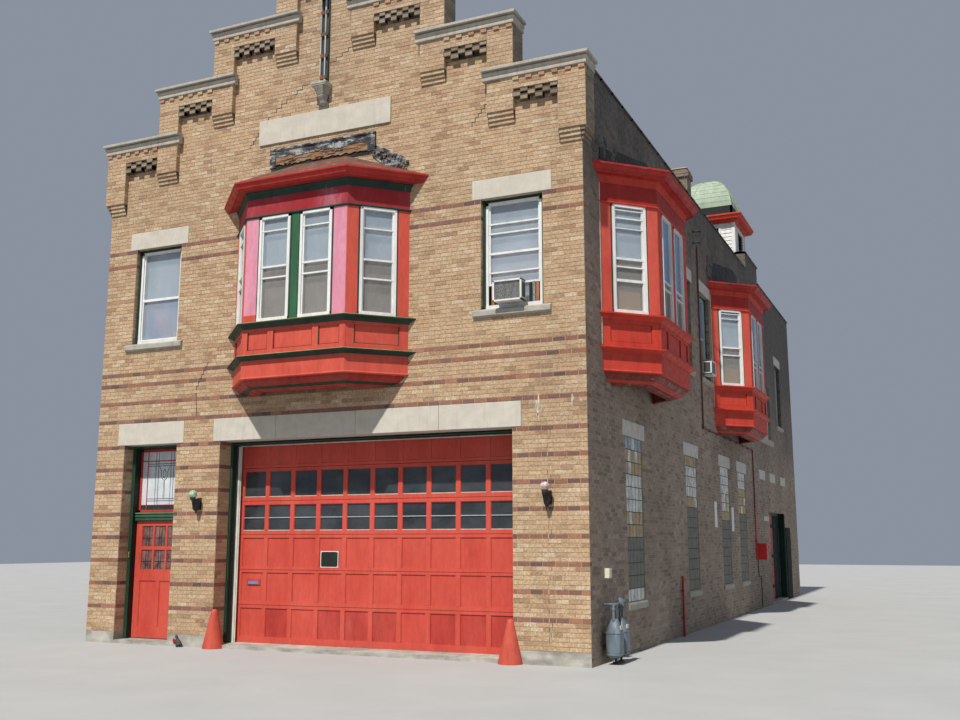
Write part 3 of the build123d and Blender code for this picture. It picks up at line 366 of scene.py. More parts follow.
for start, end, setback, courses in reveals + [(*side_doorway, 0.2, (0, 36))]:
    lay_wall(side_bricks, "rear", front + start, right - setback, right, courses, band_courses=())
    lay_wall(side_bricks, "front", front + end, right - setback, right, courses, band_courses=())
brickwork("side_bricks", side_bricks, [brown_brick, band_brick])

rear_windows = (-2.4, 2.4)
rear_blocked = [gap(middle, *stretch) for middle in rear_windows for stretch in (
    (0.5, 77, 106), (0.65, 106, 110), (0.63, 74, 77), (0.51, 9, 49), (0.66, 49, 53), (0.64, 6, 9))]
for name, facing, plane, start, end, blocked in (
        ("rear_bricks", "rear", back, left - proud, right + proud, rear_blocked),
        ("party_bricks", "left", left, front, back + proud, ())):
    plain_bricks = []
    lay_wall(plain_bricks, facing, plane, start, end, (0, parapet_course), blocked, band_courses=())
    brickwork(name, plain_bricks, [brown_brick])

# Stepped gable. The same buff brick stands 4 inches out of the front as legs, bands and a centre panel, which
# carry the four steps of the parapet. Each leg ends in three corbelled courses, and between the legs hangs a
# table of alternate headers, with a row of red headers under the coping. Near-black brick paints the shade in
# the table's recess and round its headers, and on the corbels' sides.
paint_node("gable_panels", buff_mortar)
panel_out, leg, corbel_courses, coping_courses = 0.1, 0.46, 3, 3
face_y, gable_back = front - panel_out, front + 0.33
table_pitch, table_rows, header = 0.204, 3, 0.102
gable_bricks = []


def lay_leg(low_x, high_x, courses, end=None):
    """A leg and its two edges. The edge at a step's end is of the brown side brick."""
    lay_wall(gable_bricks, "front", face_y, low_x, high_x, courses, band_courses=())
    for facing, x in (("right", high_x), ("left", low_x)):
        lay_wall(gable_bricks, facing, x, face_y - proud, front, courses, band_courses=range(200) if x == end else ())


def lay_corbels(low_x, high_x, top):
    """Three courses that step out to meet the foot of a leg."""
    for index in range(corbel_courses):
        out = panel_out * (corbel_courses - index) / (corbel_courses + 1)
        course = top - 1 - index
        low, high = bed(course) + 0.004, bed(course + 1) - 0.004
        for a, b in ((low_x, (low_x + high_x) / 2), ((low_x + high_x) / 2, high_x)):
            place_brick(gable_bricks, "front", front - out, a + joint / 2, b - joint / 2, low, high, depth=0.05)
        # The corbels' side faces are laid in near-black brick: painted shade.
        for facing, x in (("right", high_x), ("left", low_x)):
            place_brick(gable_bricks, facing, x, front - out - proud, front, low, high, 2)


for side in (-1, 1):
    end_facing = "right" if side > 0 else "left"
    for step, (outer, top) in enumerate(zip(step_faces, step_beds)):
        inner = step_faces[step + 1] if step < 3 else 0
        foot = step_beds[step - 1] + coping_courses if step else 118
        lay_leg(*sorted((side * (outer - leg), side * outer)), (foot, top), side * outer)
        if step:
            for course in range(foot, top):
                place_brick(gable_bricks, end_facing, side * outer, front + joint / 2, gable_back,
                            bed(course) + joint / 2, bed(course + 1) - joint / 2, 1)
        else:
            lay_corbels(*sorted((side * (outer - leg), side * (outer - 0.1))), 118)
            for course in (115, 116, 117):
                out = 0.025 * (course - 114)
                place_brick(gable_bricks, end_facing, side * (right + out), front - out, gable_back,
                            bed(course) + 0.006, bed(course + 1) - 0.004, 1, depth=out + 0.01)
        if inner:
            lay_leg(*sorted((side * (inner - leg), side * inner)), (top - 8, top + coping_courses))
            lay_corbels(*sorted((side * (inner - leg), side * inner)), top - 8)
            start, end = sorted((side * inner, side * (outer - leg)))
        else:
            start, end = leg - outer, outer - leg
        if inner or side > 0:
            lay_wall(gable_bricks, "front", face_y, start, end, (top - 3, top - 1), band_courses=())
            count = int((end - start) / table_pitch)
            pitch = (end - start) / count
            for row in range(table_rows):
                row_bed, row_top = bed(top - 4 - row), bed(top - 3 - row)
                low, high = row_bed + 0.004, row_top - (0.006 if row else 0.024)
                # A near-black strip at the wall plane paints the shade in the recess behind each row, and a near-black
                # rim round each header paints the shade beside it.
                place_brick(gable_bricks, "front", front, start, end, row_bed, row_top, 2)
                shift = 0.5 if (row % 2 == 0) == (side > 0) else 0
                for k in range(count):
                    a = start + (k + shift) * pitch
                    b = a + pitch / 2
                    place_brick(gable_bricks, "front", face_y, a - 0.003, b + 0.003, low - 0.01, high + 0.03,
                                2, 0.0012, 0.09)
                    place_brick(gable_bricks, "front", face_y, a + 0.006, b - 0.006, low, high, 4, depth=0.09)
        # The row of headers directly under the coping, every other one red and standing out.
        start, end = sorted((side * inner, side * outer))
        low, high = bed(top - 1) + joint / 2, bed(top) - joint / 2
        count = round((end - start) / (header + joint))
        pitch = (end - start) / count
        for k in range(count):
            a = start + k * pitch
            red = k % 2 == 0
            place_brick(gable_bricks, "front", face_y, a + joint / 2, a + pitch - joint / 2, low, high,
                        3 * (red and laying.random() < 0.75), proud + (0.022 if red else 0), 0.05)
for side, facing in ((1, "right"), (-1, "left")):
    lay_wall(gable_bricks, facing, side * 4.9, front, gable_back, (118, step_beds[0]), band_courses=range(200))
red_header = fired_brick("red_header", (0.36, 0.17, 0.1), (0.46, 0.25, 0.15), (0.4, 0.2, 0.13), soot=0.85)
end_brick = fired_brick("end_brick", (0.2, 0.155, 0.118), (0.28, 0.215, 0.16), (0.33, 0.255, 0.19), soot=0.55)
# Near-black brick for the painted shade in the gable's recesses and on the corbels' sides.
painted_shade_brick = fired_brick("painted_shade_brick", (0.06, 0.046, 0.034), (0.095, 0.072, 0.052), soot=0.7)
table_brick = fired_brick("table_brick", (0.19, 0.135, 0.088), (0.28, 0.203, 0.13), (0.35, 0.255, 0.168), soot=0.75)
brickwork("gable_bricks", gable_bricks, [buff_brick, end_brick, painted_shade_brick, red_header, table_brick])

# Gable copings. Limestone slabs about 8 inches deep, bedded on the panels: a square fillet, a cove below it
# and a drip, returned over the panel's end and stopped against the next leg. Rain has left grey streaks.


def pale_stone(name, dark, light, stain=(0.33, 0.31, 0.27)):
    material, tree, shader = new_material(name)
    base = ramp(tree, grain(tree, 5, 6, (1, 1, 1.4)), (0.3, dark), (0.7, light))
    streaks = ramp(tree, grain(tree, 5, 4, (3, 3, 0.35)), (0.52, 0), (0.75, 0.65))
    tree.links.new(mix(tree, streaks, base, stain), shader.inputs["Base Color"])
    tree.links.new(ramp(tree, grain(tree, 20, 2), (0.3, 0.75), (0.7, 0.92)), shader.inputs["Roughness"])
    relief(tree, shader, grain(tree, 90, 5), 0.45)
    return material


def start_work():
    return {"vertices": [], "faces": [], "slots": []}


def loft(work, rings, slot=0, caps=True):
    """A solid through rings of corners, one after the other."""
    first = len(work["vertices"])
    count = len(rings[0])
    for ring in rings:
        work["vertices"] += [tuple(corner) for corner in ring]
    for k in range(len(rings) - 1):
        for i in range(count):
            a, b = first + k * count + i, first + k * count + (i + 1) % count
            work["faces"].append((a, b, b + count, a + count))
    if caps:
        last = first + (len(rings) - 1) * count
        work["faces"].append(tuple(range(first, first + count)))
        work["faces"].append(tuple(range(last, last + count)))
    work["slots"] += [slot] * (len(work["faces"]) - len(work["slots"]))


def settle(work, name, materials, body="building", bevel=0, smooth=False, segments=2):
    """Turns the gathered corners and faces into a piece, with its arrises eased."""
    piece = mesh_object(name, work["vertices"], work["faces"], materials, work["slots"])
    shape = bmesh.new()
    shape.from_mesh(piece.data)
    bmesh.ops.recalc_face_normals(shape, faces=shape.faces)
    shape.to_mesh(piece.data)
    shape.free()
    if smooth:
        piece.data.shade_smooth()
        piece.data.set_sharp_from_angle(angle=math.radians(38))
    if bevel:
        ease = piece.modifiers.new("eased", "BEVEL")
        ease.width = bevel
        ease.segments = segments
        ease.limit_method = "ANGLE"
        ease.angle_limit = math.radians(40)
        ease.harden_normals = False
    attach(piece, body)
    return piece


coping_stone = pale_stone("coping_stone", (0.32, 0.293, 0.25), (0.43, 0.398, 0.348), (0.19, 0.168, 0.14))
coping_high = coping_courses * course_height
coping_section = [
    (0, 0), (0.036, 0), (0.04, 0.01), (0.04, 0.046), (0.03, 0.052), (0.034, 0.072), (0.048, 0.09),
    (0.062, 0.104), (0.064, 0.118), (0.03, 0.126), (0.03, 0.144), (0.1, 0.15), (0.1, coping_high - 0.01),
    (0.085, coping_high)]
deep_section, end_section = ([(-inwards, 0)] + coping_section + [(-inwards, coping_high)] for inwards in (0.43, 0.06))
copings = start_work()
return_share = 0.75
for side in (-1, 1):
    for step, (outer, top) in enumerate(zip(step_faces, step_beds)):
        z = bed(top)
        inner = step_faces[step + 1] + 0.002 if step < 3 else 0
        loft(copings, [[(side * inner, face_y - out, z + up) for out, up in deep_section],
                       [(side * (outer + (return_share * out if out > 0 else -0.06)), face_y - out, z + up)
                        for out, up in deep_section]])
        returned = [(side * (outer + (return_share * out if out > 0 else out)), max(out, 0), z + up)
                    for out, up in end_section]
        loft(copings, [[(x, face_y - out, level) for x, out, level in returned],
                       [(x, gable_back, level) for x, out, level in returned]])
        if step < 3:
            stop = step_faces[step + 1] - leg - 0.075
            loft(copings, [[(side * x, face_y - out, z + up) for out, up in end_section] for x in (stop, inner)])
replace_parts(settle(copings, "gable_coping_stones", [coping_stone], bevel=0.004), "gable_coping")

# Side and rear parapets. Hollow clay coping tiles, tarred over, on the side and rear walls, half round on top
# and butted end to end with a raised rim at each joint.
tar = plain_finish(
    "tarred_tile", (4, 6), ((0.3, (0.045, 0.04, 0.036)), (0.6, (0.1, 0.085, 0.075)), (0.8, (0.17, 0.13, 0.11))),
    ((14, 2), (0.3, 0.45), (0.7, 0.85)), ((40, 4), 0.5))
tiles = start_work()
tile_length, tile_lip, wall_deep = 0.61, 0.04, 0.33


def tile_run(start, end, level, place):
    """Coping tiles from one end of a wall to the other. place(s, t) gives the plan point, t out of the face."""
    count = max(1, round((end - start) / tile_length))
    long, inner_lip = (end - start) / count, -wall_deep - tile_lip
    half_round = ((tile_lip, -0.005), (tile_lip, 0.022), (tile_lip * 0.4, 0.046), (-0.08, 0.072), (-0.165, 0.082),
                  (-0.25, 0.072), (-wall_deep - tile_lip * 0.4, 0.046), (inner_lip, 0.022), (inner_lip, -0.005))
    for k in range(count):
        a = start + k * long
        for low, high, swell in ((a + 0.003, a + long - 0.003, 0), (a + 0.003, a + 0.06, 0.006)):
            ring = [(t, level + up + (swell if up > 0.04 else 0)) for t, up in half_round]
            loft(tiles, [[(*place(s, t), z) for t, z in ring] for s in (low, high)])


parapet_z, raised_z = 9.412, 9.912
raised_start, raised_end = raised_stretch
for low_y, high_y, level in ((gable_back, raised_start, parapet_z), (raised_start, raised_end, raised_z),
                             (raised_end, back, parapet_z)):
    tile_run(low_y, high_y, level, lambda s, t: (right + t, s))
tile_run(gable_back, back, parapet_z, lambda s, t: (left - t, s))
tile_run(left + 0.37, right - 0.37, parapet_z, lambda s, t: (s, back + t))
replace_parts(settle(tiles, "parapet_tiles", [tar]), "parapet_coping")

# Lintels, sills, name stone and the concrete base. Pale limestone, sawn smooth: heavy lintels over the
# street doors, plain lintels and projecting sills at the windows, and a blank tablet under the gable. The base
# is cast concrete, stained by splashes where it meets the ground.
lintel_stone = pale_stone("lintel_stone", (0.45, 0.42, 0.355), (0.54, 0.51, 0.445), (0.4, 0.36, 0.3))
side_stone = pale_stone("side_stone", (0.4, 0.38, 0.35), (0.54, 0.52, 0.49), (0.3, 0.28, 0.25))
stones = start_work()


def block(work, place, s, t, z, slot=0):
    """A block in the frame of a wall's face: s along it, t out of it."""
    corners = ((s[0], t[0]), (s[1], t[0]), (s[1], t[1]), (s[0], t[1]))
    loft(work, [[place(a, b, level) for a, b in corners] for level in sorted(z)], slot)


def slab(work, place, half, t, z, slot=0):
    """A block centred on its place."""
    block(work, place, (-half, half), t, z, slot)


def about(middle, half):
    return (middle - half, middle + half)


def at_front(x, deep=0):
    return lambda s, t, z: (x + s, front + deep - t, z)


def at_right(distance, deep=0):
    return lambda s, t, z: (right - deep + t, front + distance + s, z)


def at_rear(x, deep=0):
    return lambda s, t, z: (x - s, back - deep + t, z)


def sill_block(work, place, half, low, high, out, slot=0):
    """A sill with a weathered top and a drip."""
    section = ((-0.12, low), (out - 0.035, low), (out - 0.03, low + 0.02), (out, low + 0.022), (out, high - 0.03),
               (0, high), (-0.12, high))
    loft(work, [[place(s, t, z) for t, z in section] for s in (-half, half)], slot)


def seat(low, high):
    """A stone's two beds, less the mortar."""
    return (bed(low) + 0.004, bed(high) - 0.004)


street = at_front(0)
over_doors = (-0.33, 0.012)
garage_cuts = [garage_opening[0] - bearing, -0.8, 0.78, 2.32, garage_opening[1] + bearing]
for a, b in zip(garage_cuts, garage_cuts[1:]):
    block(stones, street, (a + 0.002, b - 0.002), over_doors, seat(pier_top, lintel_top))
block(stones, street, (entry_opening[0] - bearing, entry_opening[1] + bearing), over_doors, seat(pier_top, lintel_top))
front_places, rear_places = [at_front(x) for x in front_windows], [at_rear(x) for x in rear_windows]
# Each row: the places, then the lintel's half length, depth, courses and stone, and the sill's likewise.
for places, lintel, sill in (
        (front_places, (window_half + bearing, 0.3, 104, 109, 0), (window_half + 0.13, 0.06, 75, 77, 2)),
        ([at_right(d) for d in side_windows], (0.65, 0.3, 106, 110, 1), (0.57, 0.055, 75, 77, 2)),
        ([at_right(d) for d in block_windows], (0.66, 0.05, 49, 53, 1), (0.56, 0.035, 7, 9, 2)),
        ([at_right(d) for d in blind_lintels], (0.51, 0.05, 49, 53, 1), None),
        ([at_right(landing)], None, (1.33, 0.055, 65, 68, 2)),
        (rear_places, (0.65, 0.3, 106, 110, 1), (0.63, 0.055, 74, 77, 1)),
        (rear_places, (0.66, 0.05, 49, 53, 1), (0.64, 0.055, 6, 9, 1))):
    for place in places:
        if lintel:
            half, deep, low, high, stone = lintel
            slab(stones, place, half, (-deep, 0.012), seat(low, high), stone)
        if sill:
            half, out, low, high, stone = sill
            sill_block(stones, place, half, bed(low), bed(high), out, stone)
sill_stone = pale_stone("sill_stone", (0.28, 0.265, 0.225), (0.4, 0.38, 0.33), (0.2, 0.18, 0.15))
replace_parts(settle(stones, "lintels_and_sills", [lintel_stone, side_stone, sill_stone], bevel=0.006),
            "door_lintels", "window_lintels", "window_sills")

tablet = start_work()
slab(tablet, street, 1.367, (-0.05, 0.035), (bed(128) + 0.002, bed(135) - 0.002))
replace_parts(settle(tablet, "name_tablet", [lintel_stone], bevel=0.005), "name_stone")

base_concrete, tree, shader = new_material("base_concrete")
base_colour = ramp(tree, grain(tree, 7, 6), (0.3, (0.33, 0.315, 0.28)), (0.7, (0.47, 0.455, 0.41)))
splash = ramp(tree, grain(tree, 2.2, 5, (1, 1, 3)), (0.35, 0.6), (0.6, 1))
tree.links.new(mix(tree, 1, base_colour, splash, "MULTIPLY"), shader.inputs["Base Color"])
shader.inputs["Roughness"].default_value = 0.92
relief(tree, shader, grain(tree, 70, 6), 0.5)
for name in ("concrete_base", "floor_slab", "upper_floor"):
    paint_node(name, base_concrete)

# Cracks and repointing. Settlement has opened the joints in steps across the gable and over the street door,
# and beside the door a toothed joint was filled with pale mortar, which ran down the bricks in streaks.
crack_shadow = mortar("crack_shadow", (0.07, 0.05, 0.034), (0.12, 0.09, 0.06))
pale_mortar = mortar("pale_mortar", (0.52, 0.46, 0.38), (0.7, 0.66, 0.6))
repairs = start_work()
cracks = ((-1.62, 8.81, -1.14, 9.42), (-1.14, 9.42, -0.36, 9.89), (0.1, 10.16, 0.35, 10.32), (0.35, 10.32, 0.6, 10.42),
          (-2.55, 4.45, -2.3, 4.95), (-2.52, 3.98, -2.56, 4.45), (2.9, 8.55, 3.35, 9.05))
for x, z, end_x, end_z in cracks:
    first, last = round((z - base_top) / course_height), round((end_z - base_top) / course_height)
    for course in range(first, last):
        step_from, step_to = (x + (end_x - x) * (c - first) / (last - first) for c in (course, course + 1))
        joint_z = bed(course + 1)
        block(repairs, street, about(step_from, 0.008), (0, proud + 0.001), (bed(course), joint_z))
        block(repairs, street, (step_from, step_to), (0, proud + 0.001), about(joint_z, 0.009))
for course in range(2, 49):
    edge = 4.16 + 0.05 * (course % 2)
    block(repairs, street, about(edge, 0.004), (0, proud + 0.0005), seat(course, course + 1), course % 3 == 0)
runs = ((4.01, 3.64, 3.9, 0.018), (4.026, 3.72, 4.02, 0.013), (3.992, 3.76, 3.92, 0.013), (4.012, 3.6, 3.72, 0.022),
        (4.565, 3.78, 3.98, 0.01), (4.578, 3.88, 3.96, 0.016), (4.71, 3.84, 3.91, 0.008))
for x, low, high, wide in runs:
    middle = (low + high) / 2
    outline = ((0.5 * wide, high), (-0.4 * wide, high - 0.01), (-wide, middle), (-0.2 * wide, low),
               (0.2 * wide, low + 0.02), (wide, middle + 0.03))
    loft(repairs, [[(x - s, front - t, z) for s, z in outline] for t in (proud + 0.0015, 0)], 1)
settle(repairs, "cracks_and_repointing", [crack_shadow, pale_mortar])

# Oriel bays. Three pine bays of one pattern hang from the upper storey, one over the street door and two on the
# side: coved foot, plain fascia, apron of sunk panels between mouldings, sash posts, frieze and crown cornice.
# All are in oil paint: red, with a faded pink front and dark green mouldings on the street bay.


def old_paint(name, *colours, dirt=0.8, gloss=0.5, bare=None, patches=0.62):
    """Several coats of oil paint, chalked by the sun and lifting in places."""
    material, tree, shader = new_material(name)
    shader.inputs["Specular IOR Level"].default_value = 0.22
    places = [0.28 + 0.44 * i / max(1, len(colours) - 1) for i in range(len(colours))]
    base = ramp(tree, grain(tree, 1.6, 6, (1, 1, 0.45), 0.62), *zip(places, colours))
    fine = ramp(tree, grain(tree, 26, 4, (1, 1, 0.3)), (0.3, 0.9), (0.7, 1.05))
    grime = ramp(tree, grain(tree, 3.2, 5, (2.2, 2.2, 0.5)), (0.3, dirt), (0.55, 1))
    colour = mix(tree, 1, mix(tree, 1, base, fine, "MULTIPLY"), grime, "MULTIPLY")
    if bare:
        worn = ramp(tree, grain(tree, 7, 8, (1, 1, 0.5), 0.72), (patches, 0), (patches + 0.05, 1))
        colour = mix(tree, worn, colour, bare)
    tree.links.new(colour, shader.inputs["Base Color"])
    tree.links.new(ramp(tree, grain(tree, 9, 3), (0.3, gloss - 0.1), (0.7, gloss + 0.2)), shader.inputs["Roughness"])
    relief(tree, shader, grain(tree, 55, 5, (1, 1, 0.15)), 0.18, 0.003)
    return material


bay_red = old_paint(
    "bay_red", (0.46, 0.056, 0.036), (0.56, 0.09, 0.06), (0.51, 0.072, 0.048), dirt=0.88, bare=(0.36, 0.11, 0.07),
    patches=0.72)
cove_red = old_paint("cove_red", (0.26, 0.022, 0.018), (0.36, 0.038, 0.028), (0.3, 0.07, 0.055), dirt=0.65)
crimson = old_paint(
    "crimson", (0.26, 0.013, 0.017), (0.3, 0.02, 0.025), (0.32, 0.038, 0.05), (0.42, 0.16, 0.21), dirt=0.85,
    bare=(0.5, 0.34, 0.4), patches=0.68)
faded_pink = old_paint("faded_pink", (0.54, 0.19, 0.26), (0.64, 0.27, 0.36), (0.58, 0.21, 0.29), dirt=0.88)
dark_green = old_paint(
    "dark_green", (0.012, 0.03, 0.024), (0.02, 0.048, 0.036), (0.03, 0.06, 0.044), bare=(0.17, 0.15, 0.07),
    patches=0.66)
mid_green = old_paint("mid_green", (0.022, 0.085, 0.04), (0.032, 0.12, 0.055), (0.04, 0.105, 0.058))
edge_olive = old_paint("edge_olive", (0.25, 0.21, 0.08), (0.36, 0.31, 0.15), (0.2, 0.17, 0.08))
bay_half, bay_out = 1, 0.76
mitre = math.tan(math.radians(22.5))


def bay_ring(out):
    """The bay's four plan corners, moved outwards square to each facet."""
    return [(-bay_half - bay_out - out * math.sqrt(2), 0), (-bay_half - out * mitre, bay_out + out),
            (bay_half + out * mitre, bay_out + out), (bay_half + bay_out + out * math.sqrt(2), 0)]


def bay_run(work, place, section, slot=0):
    """A moulding mitred round the bay, from its section of (out, height)."""
    loft(work, [[place(*bay_ring(out)[corner], z) for out, z in section] for corner in range(4)], slot)


def facet(place, index):
    """The frame of one facet: 0 is the left cant, 1 the front, 2 the right cant."""
    if index == 1:
        return lambda s, t, z: place(s, bay_out + t, z)
    side, c = index - 1, math.sqrt(0.5)
    middle = (side * (bay_half + bay_out / 2), bay_out / 2)
    return lambda s, t, z: place(middle[0] + side * (t * c) + s * c, middle[1] + t * c - side * s * c, z)


def solid_stretches(start, end, holes):
    """What stands between two ends, beside holes of (middle, width)."""
    edges = [start]
    for middle, wide in holes:
        edges += [middle - wide / 2, middle + wide / 2]
    edges.append(end)
    return list(zip(edges[::2], edges[1::2]))


cant_long = bay_out * math.sqrt(2)
facet_long = (cant_long, 2 * bay_half, cant_long)
sash_wide, sash_low, sash_high = 0.62, 5.4, 7.22
sash_centres = ((0,), (-0.41, 0.41), (0,))
panels = (((0, 0.76),), ((-0.7, 0.4), (0, 0.76), (0.7, 0.4)), ((0, 0.76),))


def build_bay(name, place, paints):
    """One whole bay, with its paints in the order of the names in the next line."""
    body_red, cove, frieze, post, cant, mullion, green, edge, line, crown, sunk = range(11)
    work = start_work()
    cove_section = [(-0.3, 4.27)]
    for k in range(1, 9):
        angle = math.pi / 2 * k / 8
        cove_section.append((-0.3 + 0.255 * math.sin(angle) ** 1.15, 4.285 + 0.155 * (1 - math.cos(angle))))
    cove_section += [(-0.012, 4.44), (-0.012, 4.475), (-0.4, 4.475), (-0.4, 4.27)]
    for paint, section in (
            (cove, cove_section),
            (green, [(-0.214, 4.294), (-0.127, 4.326), (-0.127, 4.345), (-0.214, 4.315)]),
            (body_red, [(-0.1, 4.44), (-0.004, 4.438), (0.012, 4.448), (0.012, 4.463), (0, 4.472), (0, 4.762),
                        (-0.1, 4.762)]),
            (green, [(-0.1, 4.752), (0.01, 4.752), (0.016, 4.766), (0.04, 4.776), (0.066, 4.792), (0.084, 4.806),
                     (0.1, 4.81), (0.1, 4.824), (-0.1, 4.824)]),
            (edge, [(-0.1, 4.822), (0.101, 4.822), (0.1, 4.832), (0.02, 4.846), (-0.1, 4.848)]),
            (body_red, [(-0.13, 4.84), (-0.024, 4.84), (-0.024, 5.305), (-0.13, 5.305)]),
            (green, [(-0.1, 5.288), (0.008, 5.288), (0.016, 5.302), (0.03, 5.322), (0.06, 5.344), (0.084, 5.356),
                     (0.1, 5.36), (0.1, 5.38), (-0.1, 5.38)]),
            (edge, [(-0.12, 5.378), (0.101, 5.378), (0.1, 5.388), (0.03, 5.402), (-0.12, 5.406)]),
            (green, [(-0.13, 7.215), (0, 7.215), (0.024, 7.222), (0.03, 7.236), (0.024, 7.25), (0, 7.256),
                     (-0.13, 7.256)]),
            (frieze, [(-0.13, 7.25), (0, 7.25), (0, 7.566), (-0.13, 7.566)]),
            (green, [(-0.13, 7.56), (0.01, 7.56), (0.016, 7.59), (0.026, 7.634), (0.04, 7.668), (0.044, 7.692),
                     (-0.13, 7.692)]),
            (crown, [(-0.13, 7.69), (0.15, 7.69), (0.158, 7.68), (0.176, 7.68), (0.182, 7.706), (0.2, 7.712),
                     (0.208, 7.738), (0.226, 7.764), (0.234, 7.79), (0.248, 7.794), (0.248, 7.826), (0.1, 7.832),
                     (-0.13, 7.834)])):
        bay_run(work, place, section, paint)
    # Thin dark red rings at the crown's quirks: painted shade in its grooves.
    for out, z in ((0.1845, 7.704), (0.205, 7.722), (0.231, 7.779), (0.25, 7.797)):
        bay_run(work, place, [(-0.1, z - 0.004), (out, z - 0.004), (out, z + 0.004), (-0.1, z + 0.004)], cove)
    for index in range(3):
        on, long = facet(place, index), facet_long[index]
        reach, trim = long / 2 + 0.03 * mitre, 0.028
        for stretch in solid_stretches(-reach, reach, panels[index]):
            block(work, on, stretch, (-0.05, 0), (4.84, 5.3), body_red)
        for s, wide in panels[index]:
            start, end = about(s, wide / 2)
            for z in ((4.84, 4.925), (5.235, 5.3)):
                block(work, on, (start, end), (-0.05, -0.0005), z, body_red)
            for a, b, high in ((start, end, 4.937), (start, start + 0.012, 5.235), (end - 0.012, end, 5.235)):
                block(work, on, (a, b), (-0.03, -0.008), (4.925, high), sunk)
        posts = solid_stretches(-long / 2, long / 2, [(s, sash_wide) for s in sash_centres[index]])
        for k, (a, b) in enumerate(posts):
            paint = cant if index != 1 else mullion if k == 1 else post
            start, end = a + (trim if k else -0.004), b - (trim if k < len(posts) - 1 else -0.004)
            block(work, on, (a, b), (-0.13, -0.003), (sash_low - 0.005, sash_high + 0.01), line)
            block(work, on, (start, end), (-0.05, 0), (sash_low - 0.003, sash_high + 0.005), paint)
            if name == "street_bay" and index == 1 and k == 0:
                block(work, on, (start, end + 0.001), (-0.02, 0.002), (sash_low - 0.003, sash_low + 0.13), body_red)
    return settle(work, name, paints, bevel=0.003, segments=1)


crown_red = old_paint(
    "crown_red", (0.34, 0.02, 0.018), (0.44, 0.032, 0.026), (0.38, 0.024, 0.02), dirt=0.75, gloss=0.42)
# A deeper red for painted shade: on the side bays it covers the frieze under the cornice and the edges of the sunk
# panels.
shade_red = old_paint("shade_red", (0.26, 0.016, 0.013), (0.34, 0.028, 0.02), (0.3, 0.02, 0.016), dirt=0.8)
side_red = old_paint(
    "side_bay_red", (0.42, 0.032, 0.02), (0.52, 0.054, 0.032), (0.46, 0.04, 0.025), bare=(0.3, 0.09, 0.06),
    patches=0.74)
worn_cove = old_paint(
    "worn_cove", (0.15, 0.024, 0.02), (0.24, 0.04, 0.032), (0.13, 0.03, 0.026), dirt=0.55, bare=(0.26, 0.15, 0.13),
    patches=0.57)
street_paints = [
    bay_red, cove_red, crimson, faded_pink, bay_red, mid_green, dark_green, edge_olive, dark_green, crown_red,
    dark_green]
# On the side bays the frieze and the edges of the sunk panels take the deeper red, painted shade, and the cant posts
# take the brighter street red, painted sunlight.
side_paints = [
    side_red, worn_cove, shade_red, side_red, bay_red, side_red, side_red, side_red, dark_green, crown_red, shade_red]
near_bay, far_bay = (at_right(distance) for distance in side_bays)
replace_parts(build_bay("street_bay", street, street_paints), "front_bay", "front_bay_cornice")
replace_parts(build_bay("side_bay_near", near_bay, side_paints), "side_bay_front", "side_bay_cornices")
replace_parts(build_bay("side_bay_far", far_bay, side_paints), "side_bay_rear")

# Bay roofs. Low hipped sheet metal with standing seams: rust brown over the street bay, and dark grey
# flashing over the side bays, lapped up the wall.
sheet_brown = old_paint(
    "roof_sheet_brown", (0.1, 0.043, 0.031), (0.18, 0.078, 0.055), (0.135, 0.056, 0.04), (0.23, 0.125, 0.095),
    dirt=0.6, gloss=0.7, bare=(0.2, 0.17, 0.14), patches=0.6)
sheet_grey = old_paint(
    "roof_sheet_grey", (0.02, 0.02, 0.02), (0.042, 0.041, 0.04), (0.03, 0.029, 0.028), dirt=0.7, gloss=0.65)
paint_node("front_bay_roof", sheet_brown)
paint_node("side_bay_roofs", sheet_grey)

# Bay sashes. White frames, each with an upper and a lower sash and a storm sash's rails in front. The glass
# shows pulled blinds and a dusty screen in the lower half.
white_paint = old_paint(
    "white_paint", (0.62, 0.62, 0.6), (0.74, 0.745, 0.73), (0.68, 0.685, 0.67), dirt=0.86, gloss=0.4)
grey_alloy = old_paint("grey_alloy", (0.3, 0.33, 0.35), (0.4, 0.43, 0.45), (0.35, 0.37, 0.39), dirt=0.86, gloss=0.35)


def window_glass(name, tint, alpha=0.42):
    return plain_finish(name, (2.4, 4, (1, 1, 0.6)), ((0.3, tuple(c * 0.8 for c in tint)), (0.7, tint)),
                        ((30, 3), (0.4, 0.03), (0.7, 0.1)), ((3, 2), 0.02, 0.01), 0.8, alpha)


def cloth(name, *colours):
    places = [0.3 + 0.4 * i / (len(colours) - 1) for i in range(len(colours))]
    return plain_finish(name, (3.5, 4, (1, 1, 0.35)), tuple(zip(places, colours)), 0.9, ((300, 2), 0.3, 0.001))


# The blue-grey of the bay panes and the deep blue of the side, rear and outer panes are painted reflections of the sky.
pane_glass = window_glass("pane_glass", (0.42, 0.51, 0.6))
screen_glass = window_glass("screen_glass", (0.3, 0.29, 0.275))
sky_reflection_glass = window_glass("sky_reflection_glass", (0.17, 0.3, 0.56), 0.8)
blind_cloth = cloth("blind_cloth", (0.5, 0.51, 0.52), (0.62, 0.63, 0.64), (0.56, 0.57, 0.57))
dim_cloth = cloth("dim_cloth", (0.38, 0.37, 0.35), (0.5, 0.49, 0.46), (0.32, 0.31, 0.29))
card_tan = cloth("card_tan", (0.74, 0.46, 0.22), (0.86, 0.58, 0.3))


def ends(start, end, wide):
    """The strips along both ends of a stretch."""
    return ((start, start + wide), (end - wide, end))


def hang_cloth(work, place, s, t, z, fold, count, slot):
    """A pleated sheet behind the glass."""
    pleats = [(s[0] + (s[1] - s[0]) * k / count, t + fold * math.cos(math.pi * k)) for k in range(count + 1)]
    first = len(work["vertices"])
    work["vertices"] += [place(along, deep, level) for level in z for along, deep in pleats]
    for k in range(first, first + count):
        work["faces"].append((k, k + 1, k + count + 2, k + count + 1))
        work["slots"].append(slot)


